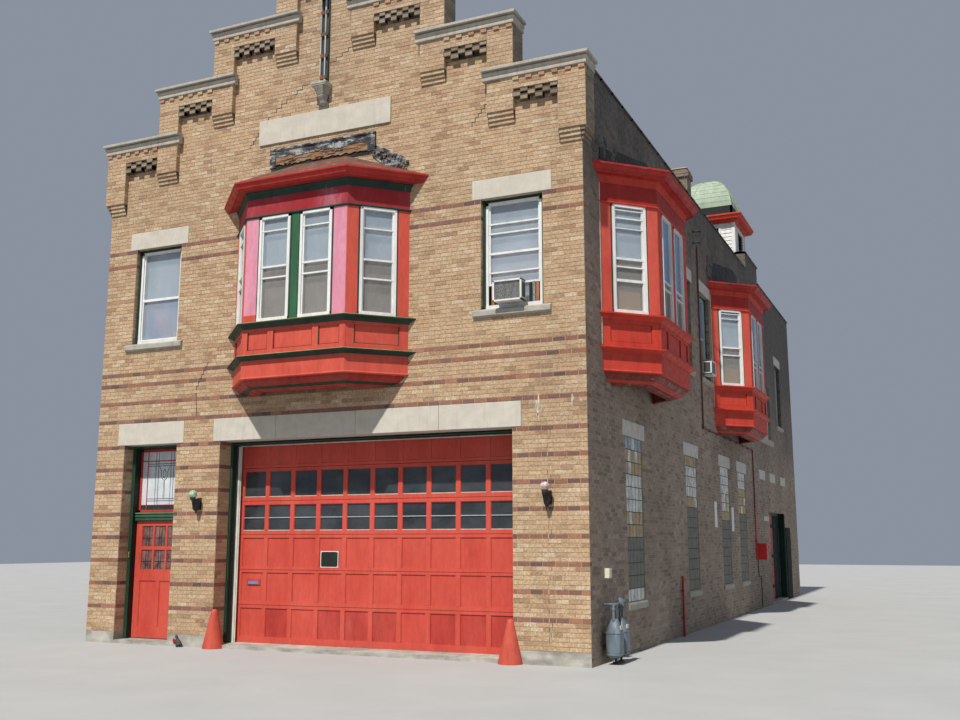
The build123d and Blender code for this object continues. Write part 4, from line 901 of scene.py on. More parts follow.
def build_sash(work, place, half, low, high, bars, frame_wide=0.045, split=0.5):
    """A window in the frame of its wall: casing, rails, glass and a blind. bars: (place down the height, thick)."""
    frame_slot, glass_slot, screen_slot, blind_slot, dim_slot = range(5)
    depth, inside = -0.055, half - frame_wide
    for s in ends(-half, half, frame_wide):
        block(work, place, s, (depth, 0.012), (low, high), frame_slot)
    slab(work, place, half, (depth, 0.012), (high - frame_wide, high), frame_slot)
    slab(work, place, half, (depth, 0.02), (low, low + frame_wide + 0.012), frame_slot)
    for s in ends(-inside, inside, 0.026 if frame_wide > 0.03 else 0.008):
        block(work, place, s, (depth, -0.012), (low + frame_wide, high - frame_wide), frame_slot)
    for share, thick in bars:
        z = high - share * (high - low)
        slab(work, place, inside, (depth + 0.004, -0.006), about(z, thick / 2), frame_slot)
    z = high - split * (high - low)
    slab(work, place, inside, (depth + 0.01, depth + 0.015), (z, high - frame_wide), glass_slot)
    slab(work, place, inside, (depth + 0.01, depth + 0.015), (low + frame_wide, z), screen_slot)
    for level, slot in (((z, high - 0.02), blind_slot), ((low + 0.02, z), dim_slot)):
        hang_cloth(work, place, (-inside, inside), depth - 0.05, level, 0.003, 6, slot)


street_bars = ((0.14, 0.02), (0.485, 0.03), (0.59, 0.026))
bay_bars = (street_bars, street_bars, ((0.2, 0.02), (0.49, 0.03), (0.665, 0.026)))
side_bars = (((0.05, 0.014), (0.125, 0.02), (0.22, 0.012), (0.5, 0.036), (0.575, 0.022), (0.7, 0.044)),
             ((0.05, 0.014), (0.12, 0.014), (0.5, 0.036), (0.6, 0.026)))
outer_bars = ((0.62, 0.02), (0.69, 0.02))
sashes, outer_sashes = start_work(), start_work()
for number, bay in enumerate((street, near_bay, far_bay)):
    for index in range(3):
        for middle in sash_centres[index]:
            def place(s, t, z, on=facet(bay, index), middle=middle):
                return on(s + middle, t, z)
            if number and index == 1:
                build_sash(outer_sashes, place, sash_wide / 2, sash_low, sash_high, outer_bars, 0.026, 0.64)
                continue
            carded = number > 0 and index == 0
            bars = side_bars[number - 1] if carded else bay_bars[index]
            build_sash(sashes, place, sash_wide / 2, sash_low, sash_high, bars)
            if carded:
                block(sashes, place, (-0.19, 0.22), (-0.085, -0.078), (sash_low + 0.06, sash_low + 0.42), 5)
bay_sashes = settle(
    sashes, "bay_sashes", [white_paint, pane_glass, screen_glass, blind_cloth, dim_cloth, card_tan])
settle(outer_sashes, "bay_outer_sashes", [white_paint, sky_reflection_glass, screen_glass, dim_cloth, dim_cloth])
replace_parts(bay_sashes, "bay_windows")

# Upper windows. Wooden double hung sashes set in the wall behind a green painted casing, with storm sashes of
# more rails in front on the street side. Pale blinds hang behind the glass, and tinted curtains lower down.
curtain_blue = cloth("curtain_blue", (0.16, 0.22, 0.5), (0.34, 0.32, 0.56), (0.78, 0.4, 0.34))
curtain_mauve = cloth("curtain_mauve", (0.62, 0.48, 0.52), (0.72, 0.6, 0.62), (0.58, 0.38, 0.42))
curtain_orange = cloth("curtain_orange", (0.16, 0.06, 0.03), (0.44, 0.17, 0.05), (0.08, 0.04, 0.03))


def wall_window(name, place, half, courses, bars, materials, split=0.5):
    """A sash window with its painted casing."""
    work = start_work()
    low, high, casing = bed(courses[0]), bed(courses[1]), 0.05
    for start, end in ends(-half, half, casing):
        block(work, place, (start, end), (-0.05, 0.022), (low, high), 5)
        block(work, place, (start + 0.012, end - 0.012), (0.02, 0.034), (low, high), 5)
    slab(work, place, half, (-0.05, 0.022), (high - 0.045, high), 5)
    slab(work, place, half, (-0.05, 0.03), (low, low + 0.02))
    build_sash(work, place, half - casing, low + 0.02, high - 0.045, bars, split=split)
    return settle(work, name, materials)


left_place, right_place = (at_front(x, 0.11) for x in front_windows)
window_left = wall_window(
    "window_left", left_place, window_half, window_courses, ((0.53, 0.045), (0.965, 0.03)),
    [white_paint, pane_glass, pane_glass, blind_cloth, curtain_blue, dark_green], 0.53)
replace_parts(window_left, "upper_windows")
right_bars = ((0.205, 0.022), (0.295, 0.022), (0.485, 0.035), (0.665, 0.022), (0.775, 0.032))
wall_window(
    "window_right", right_place, window_half, window_courses, right_bars,
    [white_paint, pane_glass, pane_glass, blind_cloth, curtain_mauve, dark_green], 0.485)
plain_windows = [("side_window_%d" % round(distance * 100), at_right(distance, 0.11), 0.5, (77, 106), grey_alloy,
                  dark_green) for distance in side_windows]
plain_windows += [("landing_light_" + label, at_right(landing + shift, 0.11), 0.6, (68, 92), white_paint, white_paint)
                  for label, shift in (("near", -0.6), ("far", 0.6))]
plain_windows += [("rear_window_" + label, at_rear(x, 0.11), 0.5, (77, 106), white_paint, dark_green)
                  for label, x in zip(("left", "right"), rear_windows)]
for name, place, half, courses, sash_paint, casing_paint in plain_windows:
    wall_window(name, place, half, courses, ((0.5, 0.045),),
                [sash_paint, sky_reflection_glass, screen_glass, blind_cloth, dim_cloth, casing_paint])

# Window air conditioners. White enamelled steel cases with a fluted plastic grille, and louvres pressed into
# the sides. The one on the street sits in a gap closed with boards and a curtain.
case_white = old_paint("case_white", (0.6, 0.6, 0.57), (0.72, 0.72, 0.69), (0.66, 0.65, 0.61), dirt=0.75, gloss=0.4)
grille_grey = plain_finish(
    "grille_grey", (45, 5), ((0.35, (0.07, 0.075, 0.075)), (0.5, (0.2, 0.21, 0.205)), (0.7, (0.42, 0.43, 0.42))), 0.6,
    ((90, 3), 0.5, 0.003))
louvre_slot_shade = plain_finish("louvre_slot_shade", (30, 3), ((0.35, (0.03, 0.032, 0.034)), (0.65, (0.07, 0.073, 0.075))), 0.7)


def conditioner(work, place, half, low, high, reach):
    """Case, grille slats and side louvres."""
    wall, slats = 0.028, 22
    inside, clear = half - wall, (low + wall, high - wall)
    for s in ends(-half, half, wall):
        block(work, place, s, (0, reach), (low, high))
    for z in ends(low, high, wall):
        slab(work, place, half, (0, reach), z)
    slab(work, place, inside, (0, reach - 0.03), clear, 1)
    for k in range(slats):
        s = -inside + 2 * inside * (k + 0.5) / slats
        block(work, place, about(s, 0.0035), (reach - 0.034, reach - 0.012), clear, 1)
    # The side louvres are near-black strips: painted shade in the louvre slots.
    for k in range(9):
        z = low + 0.06 + k * (high - low - 0.12) / 8
        for s in (-half - 0.001, half + 0.001):
            block(work, place, about(s, 0.003), (0.02, reach - 0.03), about(z, 0.012), 2)


cases = start_work()
conditioner(cases, at_front(3.58), 0.245, 5.485, 5.825, 0.18)
conditioner(cases, at_right(8.5), 0.24, 5.48, 5.8, 0.2)
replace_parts(settle(cases, "air_conditioner_cases", [case_white, grille_grey, louvre_slot_shade], bevel=0.005),
            "air_conditioners")
jamb_black = old_paint("jamb_black", (0.01, 0.014, 0.013), (0.018, 0.024, 0.021), (0.026, 0.034, 0.028))
fillers = start_work()
for slot, a, b in ((3, -0.465, -0.4), (0, -0.4, -0.35), (3, -0.35, -0.27), (3, 0.25, 0.31), (4, 0.31, 0.355),
                   (0, 0.37, 0.42), (3, 0.42, 0.465)):
    block(fillers, right_place, (a, b), (-0.048, -0.004 if slot == 4 else -0.012), (5.455, 5.83), slot)
settle(fillers, "air_conditioner_fillers", [curtain_orange, dark_green, white_paint, jamb_black, grille_grey])

# Glass block windows. Tall panels of pressed 8 inch glass blocks, five across and thirteen high, with fluted
# faces and steel bars in the bed joints. The lower blocks were painted over in grey, and dust browns others.


def pressed_glass(name, dark, light, gloss=0.12):
    return plain_finish(name, (11, 5, (1, 1, 0.6)), ((0.32, dark), (0.66, light)),
                        ((25, 3), (0.3, gloss), (0.7, gloss + 0.25)), ((60, 3), 0.3, 0.003), 0.75)


block_looks = [
    pressed_glass("block_blue", (0.15, 0.2, 0.22), (0.34, 0.42, 0.46)),
    pressed_glass("block_clear", (0.3, 0.31, 0.29), (0.7, 0.71, 0.67)),
    pressed_glass("block_tan", (0.25, 0.18, 0.09), (0.47, 0.36, 0.2)),
    pressed_glass("block_painted", (0.105, 0.108, 0.09), (0.17, 0.17, 0.145), 0.5),
    mortar("block_joint", (0.06, 0.07, 0.066), (0.11, 0.12, 0.115)),
    mortar("block_bar", (0.035, 0.04, 0.038), (0.07, 0.07, 0.065))]
# One letter for each row of a panel from the top: blue, clear, tan or painted over.
block_rows = ("bttcccttppppc", "tccctppppppppc", "ccctttppppppp", "cctttpppppppp", "cccccppppppcc", "cccccppppppcc")
blocks_across, blocks_high, panel_half, flutes = 5, 13, 0.51, 9
glass_panels = start_work()
panel_low, panel_high = bed(9), bed(49)
pitch_s, pitch_z = 2 * panel_half / blocks_across, (panel_high - panel_low) / blocks_high
panel_places = [at_right(distance, 0.012) for distance in block_windows] + [at_rear(x, 0.06) for x in rear_windows]
for place, rows in zip(panel_places, block_rows):
    slab(glass_panels, place, panel_half, (-0.09, -0.01), (panel_low, panel_high), 4)
    for row in range(blocks_high):
        top = panel_high - row * pitch_z
        slot = "bctp".index(rows[row])
        slab(glass_panels, place, panel_half, (-0.012, -0.004), about(top, 0.006), 5)
        beds = (top - pitch_z + 0.007, top - 0.007)
        for column in range(blocks_across):
            s0 = -panel_half + column * pitch_s + 0.016
            s1 = s0 + pitch_s - 0.032
            mixed = slot if laying.random() < 0.8 or slot == 3 else 1
            outline = [(s0, -0.012)]
            for k in range(flutes * 2 + 1):
                s = s0 + 0.006 + (s1 - s0 - 0.012) * k / (flutes * 2)
                outline.append((s, -0.001 if k % 2 else -0.0045))
            outline.append((s1, -0.012))
            loft(glass_panels, [[place(s, t, z) for s, t in outline] for z in beds], mixed)
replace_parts(settle(glass_panels, "glass_block_panels", block_looks), "glass_block_windows")

# Street doorway frame. Deep jamb boards painted dark green, run with stepped beads down the front edge, and a
# white plastic weather strip nailed round the opening against the door. The deep boards, the head's underside
# and the steps between the beads are near black: painted shade in the deep reveal.
strip_white = old_paint("strip_white", (0.52, 0.49, 0.44), (0.66, 0.63, 0.58), (0.6, 0.56, 0.5), dirt=0.7)
jamb_green = old_paint(
    "jamb_green", (0.02, 0.065, 0.038), (0.03, 0.095, 0.052), (0.04, 0.11, 0.07), bare=(0.16, 0.18, 0.14), patches=0.7)
floor_top, door_top = 0.06, bed(pier_top)


def line_jambs(work, opening, boards):
    """The boards of both jambs: how far in each stands, its depth in the wall, its paint, and how short it stops."""
    for edge, way in ((opening[0], 1), (opening[1], -1)):
        for s, t, paint, short in boards:
            block(work, lambda s, t, z: (edge + way * s, front - t, z), s, t, (floor_top, door_top - short), paint)


street_frame = start_work()
line_jambs(street_frame, garage_opening, (
    ((0, 0.05), (-0.55, -0.345), 0, 0), ((0, 0.012), (-0.35, -0.312), 1, 0), ((0.013, 0.022), (-0.35, -0.326), 0, 0),
    ((0.023, 0.036), (-0.35, -0.316), 1, 0), ((0.037, 0.05), (-0.36, -0.334), 0, 0),
    ((0.05, 0.058), (-0.47, -0.44), 1, 0), ((0.05, 0.098), (-0.5, -0.472), 2, 0.05),
    ((0.098, 0.116), (-0.5, -0.488), 2, 0.05)))
inner_jambs = (garage_opening[0] + 0.05, garage_opening[1] - 0.05)
for t, low, high, slot in (((-0.55, -0.345), 0.05, 0, 0), ((-0.36, -0.316), 0.036, 0.022, 1),
                           ((-0.5, -0.472), 0.066, 0.05, 2)):
    block(street_frame, street, inner_jambs, t, (door_top - low, door_top - high), slot)
frame_piece = settle(
    street_frame, "street_door_frame", [jamb_black, jamb_green, strip_white], bevel=0.003)
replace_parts(frame_piece, "garage_frame")

# Street door. A closed wooden overhead door in six sections, ten panels wide. Two sections are glazed, the
# lower of them with an alloy bar across each light, and the red paint has chalked to salmon in the sun.
door_red = old_paint(
    "door_red", (0.48, 0.054, 0.036), (0.54, 0.08, 0.056), (0.58, 0.1, 0.072), bare=(0.54, 0.15, 0.11), patches=0.74,
    dirt=0.92)
panel_red = old_paint(
    "panel_red", (0.46, 0.052, 0.036), (0.52, 0.072, 0.05), (0.56, 0.092, 0.066), bare=(0.42, 0.09, 0.07),
    patches=0.76, dirt=0.9)
dusty_red = old_paint(
    "dusty_red", (0.37, 0.034, 0.028), (0.44, 0.052, 0.04), (0.5, 0.085, 0.066), bare=(0.34, 0.13, 0.1), patches=0.74,
    dirt=0.8)
dark_pane = plain_finish(
    "dark_pane", (1.3, 4, (1, 1, 1.5)), ((0.35, (0.018, 0.022, 0.028)), (0.65, (0.055, 0.06, 0.066))),
    ((16, 4), (0.35, 0.05), (0.7, 0.22)), ((2.5, 2), 0.02, 0.01), 0.6)
putty = old_paint("putty", (0.42, 0.36, 0.3), (0.55, 0.49, 0.42), (0.48, 0.42, 0.36), dirt=0.7)
seam_black = plain_finish("seam_black", (12, 3), ((0.3, (0.03, 0.012, 0.01)), (0.7, (0.07, 0.025, 0.02))), 0.9)
leaf = at_front(0, 0.55)
leaf_edges = (garage_opening[0] + 0.02, garage_opening[1] - 0.02)
first_column, column_pitch, columns, stile = garage_opening[0] + 0.117, 0.5331, 10, 0.082
cells = [(first_column + (k + 0.5) * column_pitch, column_pitch - stile) for k in range(columns)]
section_lines = (0.06, 0.7, 1.3, 1.905, 2.49, 3.07, 3.502)
cell_heights = ((0.167, 0.646), (0.767, 1.252), (1.357, 1.848), (1.972, 2.423), (2.559, 3.016), (3.125, 3.45))
street_leaf = start_work()
rail_slot, panel_slot, dusty_slot, pane_slot, bar_slot, putty_slot, seam_slot = range(7)


def bead_round(work, place, s, z, wide, t, slot):
    """Four beads round a panel or a light."""
    for stretch in ends(*s, wide):
        block(work, place, stretch, t, z, slot)
    for level in ends(*z, wide):
        block(work, place, s, t, level, slot)


for section, (low, high) in enumerate(cell_heights):
    base, top = section_lines[section] + (0.003 if section else 0), section_lines[section + 1] - 0.003
    for s in solid_stretches(*leaf_edges, cells):
        block(street_leaf, leaf, s, (-0.04, 0), (low, high), rail_slot)
    for z in ((base, low), (high, top)):
        block(street_leaf, leaf, leaf_edges, (-0.042, 0), z, rail_slot)
    for middle, wide in cells:
        s = about(middle, wide / 2)
        if section in (3, 4):
            block(street_leaf, leaf, s, (-0.03, -0.024), (low, high), pane_slot)
            block(street_leaf, leaf, s, (-0.026, -0.006), (low, low + 0.014), putty_slot)
            for edge in ends(*s, 0.008):
                block(street_leaf, leaf, edge, (-0.026, -0.01), (low, high), rail_slot)
            block(street_leaf, leaf, s, (-0.026, -0.008), (high - 0.01, high), rail_slot)
            if section == 3:
                block(street_leaf, leaf, s, (-0.024, -0.008), about((low + high) / 2, 0.007), bar_slot)
        else:
            slot = dusty_slot if section == 0 and laying.random() < 0.75 else panel_slot
            block(street_leaf, leaf, s, (-0.036, -0.006 if section == 5 else -0.015), (low, high), slot)
            if section < 5:
                bead_round(street_leaf, leaf, s, (low, high), 0.01, (-0.02, -0.007), slot)
    if section:
        block(street_leaf, leaf, leaf_edges, (-0.04, -0.012), about(section_lines[section], 0.003), seam_slot)
street_door = settle(
    street_leaf, "street_door_leaf", [door_red, panel_red, dusty_red, dark_pane, grey_alloy, putty, seam_black],
    bevel=0.0022, segments=1)
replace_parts(street_door, "garage_door")

# Small things on the street door: a blank black enamelled plate with a white edge, screwed on at eye height, a
# letter slot, and a rubber strip along the foot.
plate_white = old_paint("plate_white", (0.62, 0.62, 0.6), (0.72, 0.72, 0.7), (0.68, 0.68, 0.66), dirt=0.85, gloss=0.3)
slot_blue = old_paint("slot_blue", (0.1, 0.16, 0.34), (0.15, 0.22, 0.42), (0.2, 0.26, 0.4), dirt=0.8)
rubber = old_paint("rubber", (0.02, 0.02, 0.02), (0.04, 0.038, 0.035), (0.06, 0.055, 0.05), gloss=0.7)
trifles = start_work()
plate_x, plate_z, plate_screws = -0.007, 1.4875, [(s, z) for s in (-0.162, 0.148) for z in (1.372, 1.603)]
block(trifles, leaf, about(plate_x, 0.177), (0, 0.005), about(plate_z, 0.1375), 1)
block(trifles, leaf, about(plate_x, 0.165), (0.004, 0.006), about(plate_z, 0.1255))
for s, z in plate_screws:
    block(trifles, leaf, about(s, 0.006), (0.005, 0.009), about(z, 0.006), 1)
block(trifles, leaf, (-1.69, -1.42), (-0.012, 0.002), (1.04, 1.145), 4)
block(trifles, leaf, (-1.66, -1.45), (0, 0.01), (1.052, 1.118), 2)
block(trifles, leaf, (-1.66, -1.45), (0.008, 0.014), (1.108, 1.118), 4)
block(trifles, leaf, leaf_edges, (-0.04, -0.004), (0.056, 0.078), 3)
settle(trifles, "street_door_trifles", [jamb_black, plate_white, slot_blue, rubber, dusty_red],
       bevel=0.0015, segments=1)

# Entry doorway frame. Green jamb boards and head with beaded edges, a moulded transom bar, and over it a red
# sash with leaded glass: clear borders, a panel of straight cames and a small tulip at the middle.


def strip(work, place, points, half, t, slot):
    """A thin bar that follows points on a wall's face."""
    for (s0, z0), (s1, z1) in zip(points, points[1:]):
        long = math.hypot(s1 - s0, z1 - z0)
        a, b = (z0 - z1) / long * half, (s1 - s0) / long * half
        corners = ((s0 + a, z0 + b), (s1 + a, z1 + b), (s1 - a, z1 - b), (s0 - a, z0 - b))
        loft(work, [[place(s, depth, z) for s, z in corners] for depth in t], slot)


def turned(work, base, profile, slot=0, sides=20, axis=(0, 0, 1)):
    """A solid of revolution, from its profile of (radius, distance along the axis)."""
    axis = Vector(axis).normalized()
    across = axis.orthogonal().normalized()
    other = axis.cross(across)
    angles = [2 * math.pi * k / sides for k in range(sides)]
    loft(work, [[Vector(base) + axis * distance + radius * (across * math.cos(a) + other * math.sin(a)) for a in angles]
                for radius, distance in profile], slot)


def hinge_levels(low, high):
    return (low + 0.25, (low + high) / 2, high - 0.25)


def barrels(work, x, y, levels, slot):
    """The iron barrels that carry a leaf on its axis."""
    for level in levels:
        turned(work, (x, y, level - 0.05), [(0.004, 0), (0.01, 0.004), (0.01, 0.096), (0.004, 0.1)], slot, 12)


brass = old_paint("old_brass", (0.3, 0.2, 0.07), (0.46, 0.32, 0.12), (0.38, 0.26, 0.1), gloss=0.3)
iron = old_paint("old_iron", (0.02, 0.02, 0.022), (0.045, 0.042, 0.04), (0.09, 0.055, 0.035), gloss=0.55)
lead = old_paint("lead_came", (0.05, 0.055, 0.06), (0.09, 0.1, 0.11), (0.14, 0.2, 0.24), gloss=0.5)
obscure_glass = plain_finish(
    "obscure_glass", (5, 5, (1, 1, 0.7)), ((0.3, (0.46, 0.5, 0.53)), (0.7, (0.64, 0.68, 0.7))),
    ((22, 3), (0.3, 0.1), (0.7, 0.3)), ((140, 3), 0.35, 0.002))
sash_red = old_paint("sash_red", (0.3, 0.03, 0.028), (0.46, 0.05, 0.04), (0.38, 0.04, 0.034))
entry = start_work()
# The deep boards, the head's underside and one step between the beads are near black: painted shade in the deep reveal.
line_jambs(entry, entry_opening, (
    ((0, 0.05), (-0.425, -0.262), 0, 0), ((0, 0.016), (-0.27, -0.236), 1, 0), ((0.017, 0.025), (-0.27, -0.25), 0, 0),
    ((0.026, 0.038), (-0.27, -0.238), 1, 0), ((0.039, 0.05), (-0.27, -0.252), 1, 0)))
clear, bar_low, bar_high = (entry_opening[0] + 0.05, entry_opening[1] - 0.05), 2.166, 2.316
block(entry, street, clear, (-0.425, -0.262), (door_top - 0.05, door_top))
block(entry, street, clear, (-0.27, -0.24), (door_top - 0.03, door_top), 1)
transom = (
    (-0.425, 0), (-0.334, 0), (-0.33, 0.03), (-0.34, 0.038), (-0.338, 0.05), (-0.322, 0.06), (-0.322, 0.088),
    (-0.336, 0.098), (-0.33, 0.112), (-0.32, 0.118), (-0.32, 0.128), (-0.4, 0.15), (-0.425, 0.15))
loft(entry, [[(x, front - t, bar_low + up) for t, up in transom] for x in clear], 1)
block(entry, street, clear, (-0.4, -0.321), (bar_high - 0.022, bar_high - 0.012), 7)
sash_bar, sash_z = 0.045, (bar_high, door_top - 0.05)
bead_round(entry, street, clear, sash_z, sash_bar, (-0.425, -0.405), 2)
light, light_z = (clear[0] + sash_bar, clear[1] - sash_bar), (sash_z[0] + sash_bar, sash_z[1] - sash_bar)
block(entry, street, light, (-0.42, -0.416), (light_z[0] + 0.085, light_z[1]), 3)
block(entry, street, light, (-0.42, -0.416), (light_z[0], light_z[0] + 0.085), 6)


def on_light(s, z):
    """A point of the light, from its shares of the width and the height."""
    return (light[0] + s * (light[1] - light[0]), light_z[0] + z * (light_z[1] - light_z[0]))


rail_t, came_t = (-0.417, -0.408), (-0.417, -0.411)
for share in (0.12, 0.88):
    block(entry, street, about(on_light(share, 0)[0], 0.009), rail_t, light_z, 2)
block(entry, street, light, rail_t, about(on_light(0, 0.84)[1], 0.009), 2)
block(entry, street, light, rail_t, about(light_z[0] + 0.087, 0.007), 2)
for share in (0.3, 0.36, 0.64, 0.7):
    x = on_light(share, 0)[0]
    strip(entry, street, [(x, light_z[0] + 0.09), (x, light_z[1])], 0.005, came_t, 4)
for share in (0.155, 0.19, 0.755, 0.79):
    strip(entry, street, [on_light(0.12, share), on_light(0.88, share)], 0.005, came_t, 4)
petal = ((0, 0.5), (0.055, 0.54), (0.075, 0.6), (0.068, 0.66), (0.11, 0.72), (0.11, 0.755))
inner_petal, stem = ((0, 0.535), (0.03, 0.58), (0.034, 0.64), (0, 0.7)), ((0.012, 0.19), (0.012, 0.44), (0, 0.5))
for way in (-1, 1):
    for line in (petal, inner_petal, stem):
        strip(entry, street, [on_light(0.5 + way * s, z) for s, z in line], 0.004, (-0.417, -0.41), 4)
leaf_bottom, leaf_top, outwards = 0.072, 2.16, (0, -1, 0)
barrels(entry, -4.098, front + 0.425, hinge_levels(leaf_bottom, leaf_top), 5)
block(entry, street, (-4.13, -4.112), (-0.24, -0.228), (1.5, 1.6), 8)
turned(entry, (-4.121, front + 0.228, 1.55), [(0.007, -0.002), (0.007, 0.003), (0.003, 0.005)], 5, 12, outwards)
entry_set = settle(
    entry, "entry_doorway",
    [jamb_black, jamb_green, sash_red, obscure_glass, lead, iron, dark_pane, edge_olive, brass],
    bevel=0.002, segments=1)
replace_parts(entry_set, "entry_frame")

# Entry door. A red four foot leaf on three butts: six leaded lights over two tall sunk panels, with a brass
# knob and cylinder, and a brown curtain gathered behind the lights.
entry_red = old_paint(
    "entry_red", (0.46, 0.052, 0.036), (0.54, 0.08, 0.056), (0.58, 0.1, 0.074), bare=(0.36, 0.16, 0.12), patches=0.77,
    dirt=0.92)
entry_pane = pressed_glass("entry_pane", (0.03, 0.022, 0.024), (0.26, 0.12, 0.11), 0.06)
curtain_brown = cloth("curtain_brown", (0.2, 0.075, 0.045), (0.34, 0.15, 0.095), (0.26, 0.1, 0.06))
door = start_work()
face = at_front(0, 0.38)
leaf_x, stile_wide, muntin = (-4.098, -2.989), 0.13, 0.034
field = (leaf_x[0] + stile_wide, leaf_x[1] - stile_wide)
stile_t, rail_t = (-0.045, 0), (-0.045, -0.0004)


def hung_stile(low, high):
    """The lengths of a hung stile between its barrels, and the short ones that are cut back beside them."""
    cuts = [low] + [level + d for level in hinge_levels(low, high) for d in (-0.051, 0.051)] + [high]
    return zip(cuts[::2], cuts[1::2]), zip(cuts[1::2], cuts[2::2])


lengths, notches = hung_stile(leaf_bottom, leaf_top)
for z in lengths:
    block(door, face, (leaf_x[0], field[0]), stile_t, z)
for z in notches:
    block(door, face, (leaf_x[0] + 0.0125, field[0]), stile_t, z)
    block(door, face, (leaf_x[0], leaf_x[0] + 0.0125), (-0.03, 0), z)
block(door, face, (field[1], leaf_x[1]), stile_t, (leaf_bottom, leaf_top))
for z in ((leaf_bottom, 0.274), (1.083, 1.279), (1.636, 1.69), (2.069, leaf_top)):
    block(door, face, field, rail_t, z)
light_wide = (field[1] - field[0] - 2 * muntin) / 3
for z in ((1.279, 1.636), (1.69, 2.069)):
    for k in range(3):
        a = field[0] + k * (light_wide + muntin)
        b = a + light_wide
        if k:
            block(door, face, (a - muntin, a), rail_t, z)
        block(door, face, (a, b), (-0.022, -0.018), z, 1)
        bead_round(door, face, (a, b), z, 0.008, (-0.02, -0.008), 0)
        for s in about((a + b) / 2, 0.028):
            block(door, face, about(s, 0.005), (-0.019, -0.013), z, 2)
        block(door, face, (a, b), (-0.019, -0.013), about(z[0] + 0.42 * (z[1] - z[0]), 0.005), 2)
        hang_cloth(door, face, (a, b), -0.034, z, 0.004, 16, 3)
panel_wide, panel_z = (field[1] - field[0] - 2 * muntin) / 2, (0.274, 1.083)
for k in range(2):
    a = field[0] + k * (panel_wide + 2 * muntin)
    b = a + panel_wide
    if k:
        block(door, face, (a - 2 * muntin, a), rail_t, panel_z)
    block(door, face, (a, b), (-0.036, -0.014), panel_z)
    bead_round(door, face, (a, b), panel_z, 0.012, (-0.018, -0.006), 0)
knob_x, knob_z = leaf_x[1] - 0.065, 1.02
block(door, face, about(knob_x, 0.024), (-0.001, 0.004), about(knob_z, 0.09), 4)
knob = [(0.014, 0), (0.012, 0.03), (0.02, 0.036), (0.028, 0.05), (0.026, 0.066), (0.014, 0.08), (0.004, 0.083)]
turned(door, face(knob_x, 0, knob_z), knob, 4, 20, outwards)
cylinder = [(0.02, 0), (0.02, 0.006), (0.012, 0.01), (0.003, 0.01)]
turned(door, face(knob_x, 0, knob_z + 0.16), cylinder, 4, 18, outwards)
entry_leaf = settle(
    door, "entry_door_leaf", [entry_red, entry_pane, jamb_black, curtain_brown, brass], "entry_door",
    bevel=0.002, segments=1)
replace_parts(entry_leaf, "entry_door")

# Side doorway. A dark green frame and boarded panel, and a red leaf of tongued boards on three hinges. A
# black sheet leans fixed to the wall beyond it, with a bare plate over the door.
side_frame = start_work()
reveal, far_jamb = at_right(side_doorway[0], 0.2), at_right(side_doorway[1])
frame_top, head, post, far_post = 2.65, 2.57, (1.242, 1.322), 2.95
for s, z in (((0, 0.08), (floor_top, frame_top)), ((0.08, far_post), (head, frame_top)), (post, (floor_top, head))):
    block(side_frame, reveal, s, (-0.06, -0.0015), z)
boards = 11
board_wide = (far_post - post[1]) / boards
for k in range(boards):
    a = post[1] + k * board_wide
    block(side_frame, reveal, (a + 0.002, a + board_wide - 0.002), (-0.05, -0.011 - 0.003 * (k % 2)),
          (floor_top, head), 3 if k < 3 else 1)
for z in (0.45, 1.35, 2.25):
    block(side_frame, reveal, (post[1], far_post), (-0.012, -0.002), about(z, 0.05), 1)
for s, t, z, slot in (((-0.016, -0.002), (-0.195, 0.004), (floor_top, frame_top), 1),
                      ((-0.02, -0.002), (-0.022, 0.008), (floor_top, frame_top), 0),
                      ((0.05, 0.98), (0.006, 0.03), (0.02, 2.22), 4),
                      *(((0.05, 0.98), (0.028, 0.036), about(z, 0.03), 4) for z in (0.4, 1.1, 1.8))):
    block(side_frame, far_jamb, s, t, z, slot)
block(side_frame, at_right(15.95), (-0.4, 0.48), (0.004, 0.022), (2.36, 2.49), 5)
side_leaf_top = 2.564
barrels(side_frame, right - 0.255, front + 16.736, hinge_levels(leaf_bottom, side_leaf_top), 2)
board_green = old_paint("board_green", (0.006, 0.016, 0.014), (0.01, 0.026, 0.022), (0.014, 0.03, 0.024), gloss=0.85)
sheet_black = old_paint("sheet_black", (0.006, 0.008, 0.008), (0.012, 0.016, 0.014), (0.016, 0.018, 0.016), gloss=0.85)
side_set = settle(
    side_frame, "side_doorway", [jamb_green, board_green, iron, sash_red, sheet_black, side_stone],
    bevel=0.002, segments=1)
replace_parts(side_set, "side_door_frame")

side_leaf = start_work()
hung = at_right(side_doorway[0], 0.21)
leaf_s, leaf_z, boards, board_t = (0.086, 1.236), (leaf_bottom, side_leaf_top), 8, (-0.045, -0.004)
board_wide = (leaf_s[1] - leaf_s[0]) / boards
lengths, notches = hung_stile(*leaf_z)
for z in lengths:
    block(side_leaf, hung, (leaf_s[0], leaf_s[0] + board_wide - 0.002), board_t, z)
for z in notches:
    block(side_leaf, hung, (leaf_s[0] + 0.0125, leaf_s[0] + board_wide - 0.002), board_t, z)
for k in range(1, boards):
    a = leaf_s[0] + k * board_wide
    block(side_leaf, hung, (a + 0.002, a + board_wide - 0.002), board_t, leaf_z)
block(side_leaf, hung, (leaf_s[0] + 0.02, leaf_s[1]), (-0.04, -0.008), leaf_z)
for z in (0.35, 1.318, 2.3):
    block(side_leaf, hung, (leaf_s[0] + 0.02, leaf_s[1] - 0.01), (-0.006, 0), about(z, 0.07))
block(side_leaf, hung, about(leaf_s[1] - 0.07, 0.03), (-0.002, 0.003), (1, 1.22), 1)
side_knob = [(0.012, 0), (0.012, 0.03), (0.026, 0.04), (0.024, 0.06), (0.006, 0.07)]
turned(side_leaf, hung(leaf_s[1] - 0.07, 0, 1.1), side_knob, 1, 18, (1, 0, 0))
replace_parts(settle(side_leaf, "side_door_leaf", [sash_red, iron], "side_door", bevel=0.002, segments=1),
            "side_door")

# Wall lamps. Cast iron torch brackets, black, with a glass globe set in a cup: the left one is pale green and
# the right one a cloudy pinkish white.


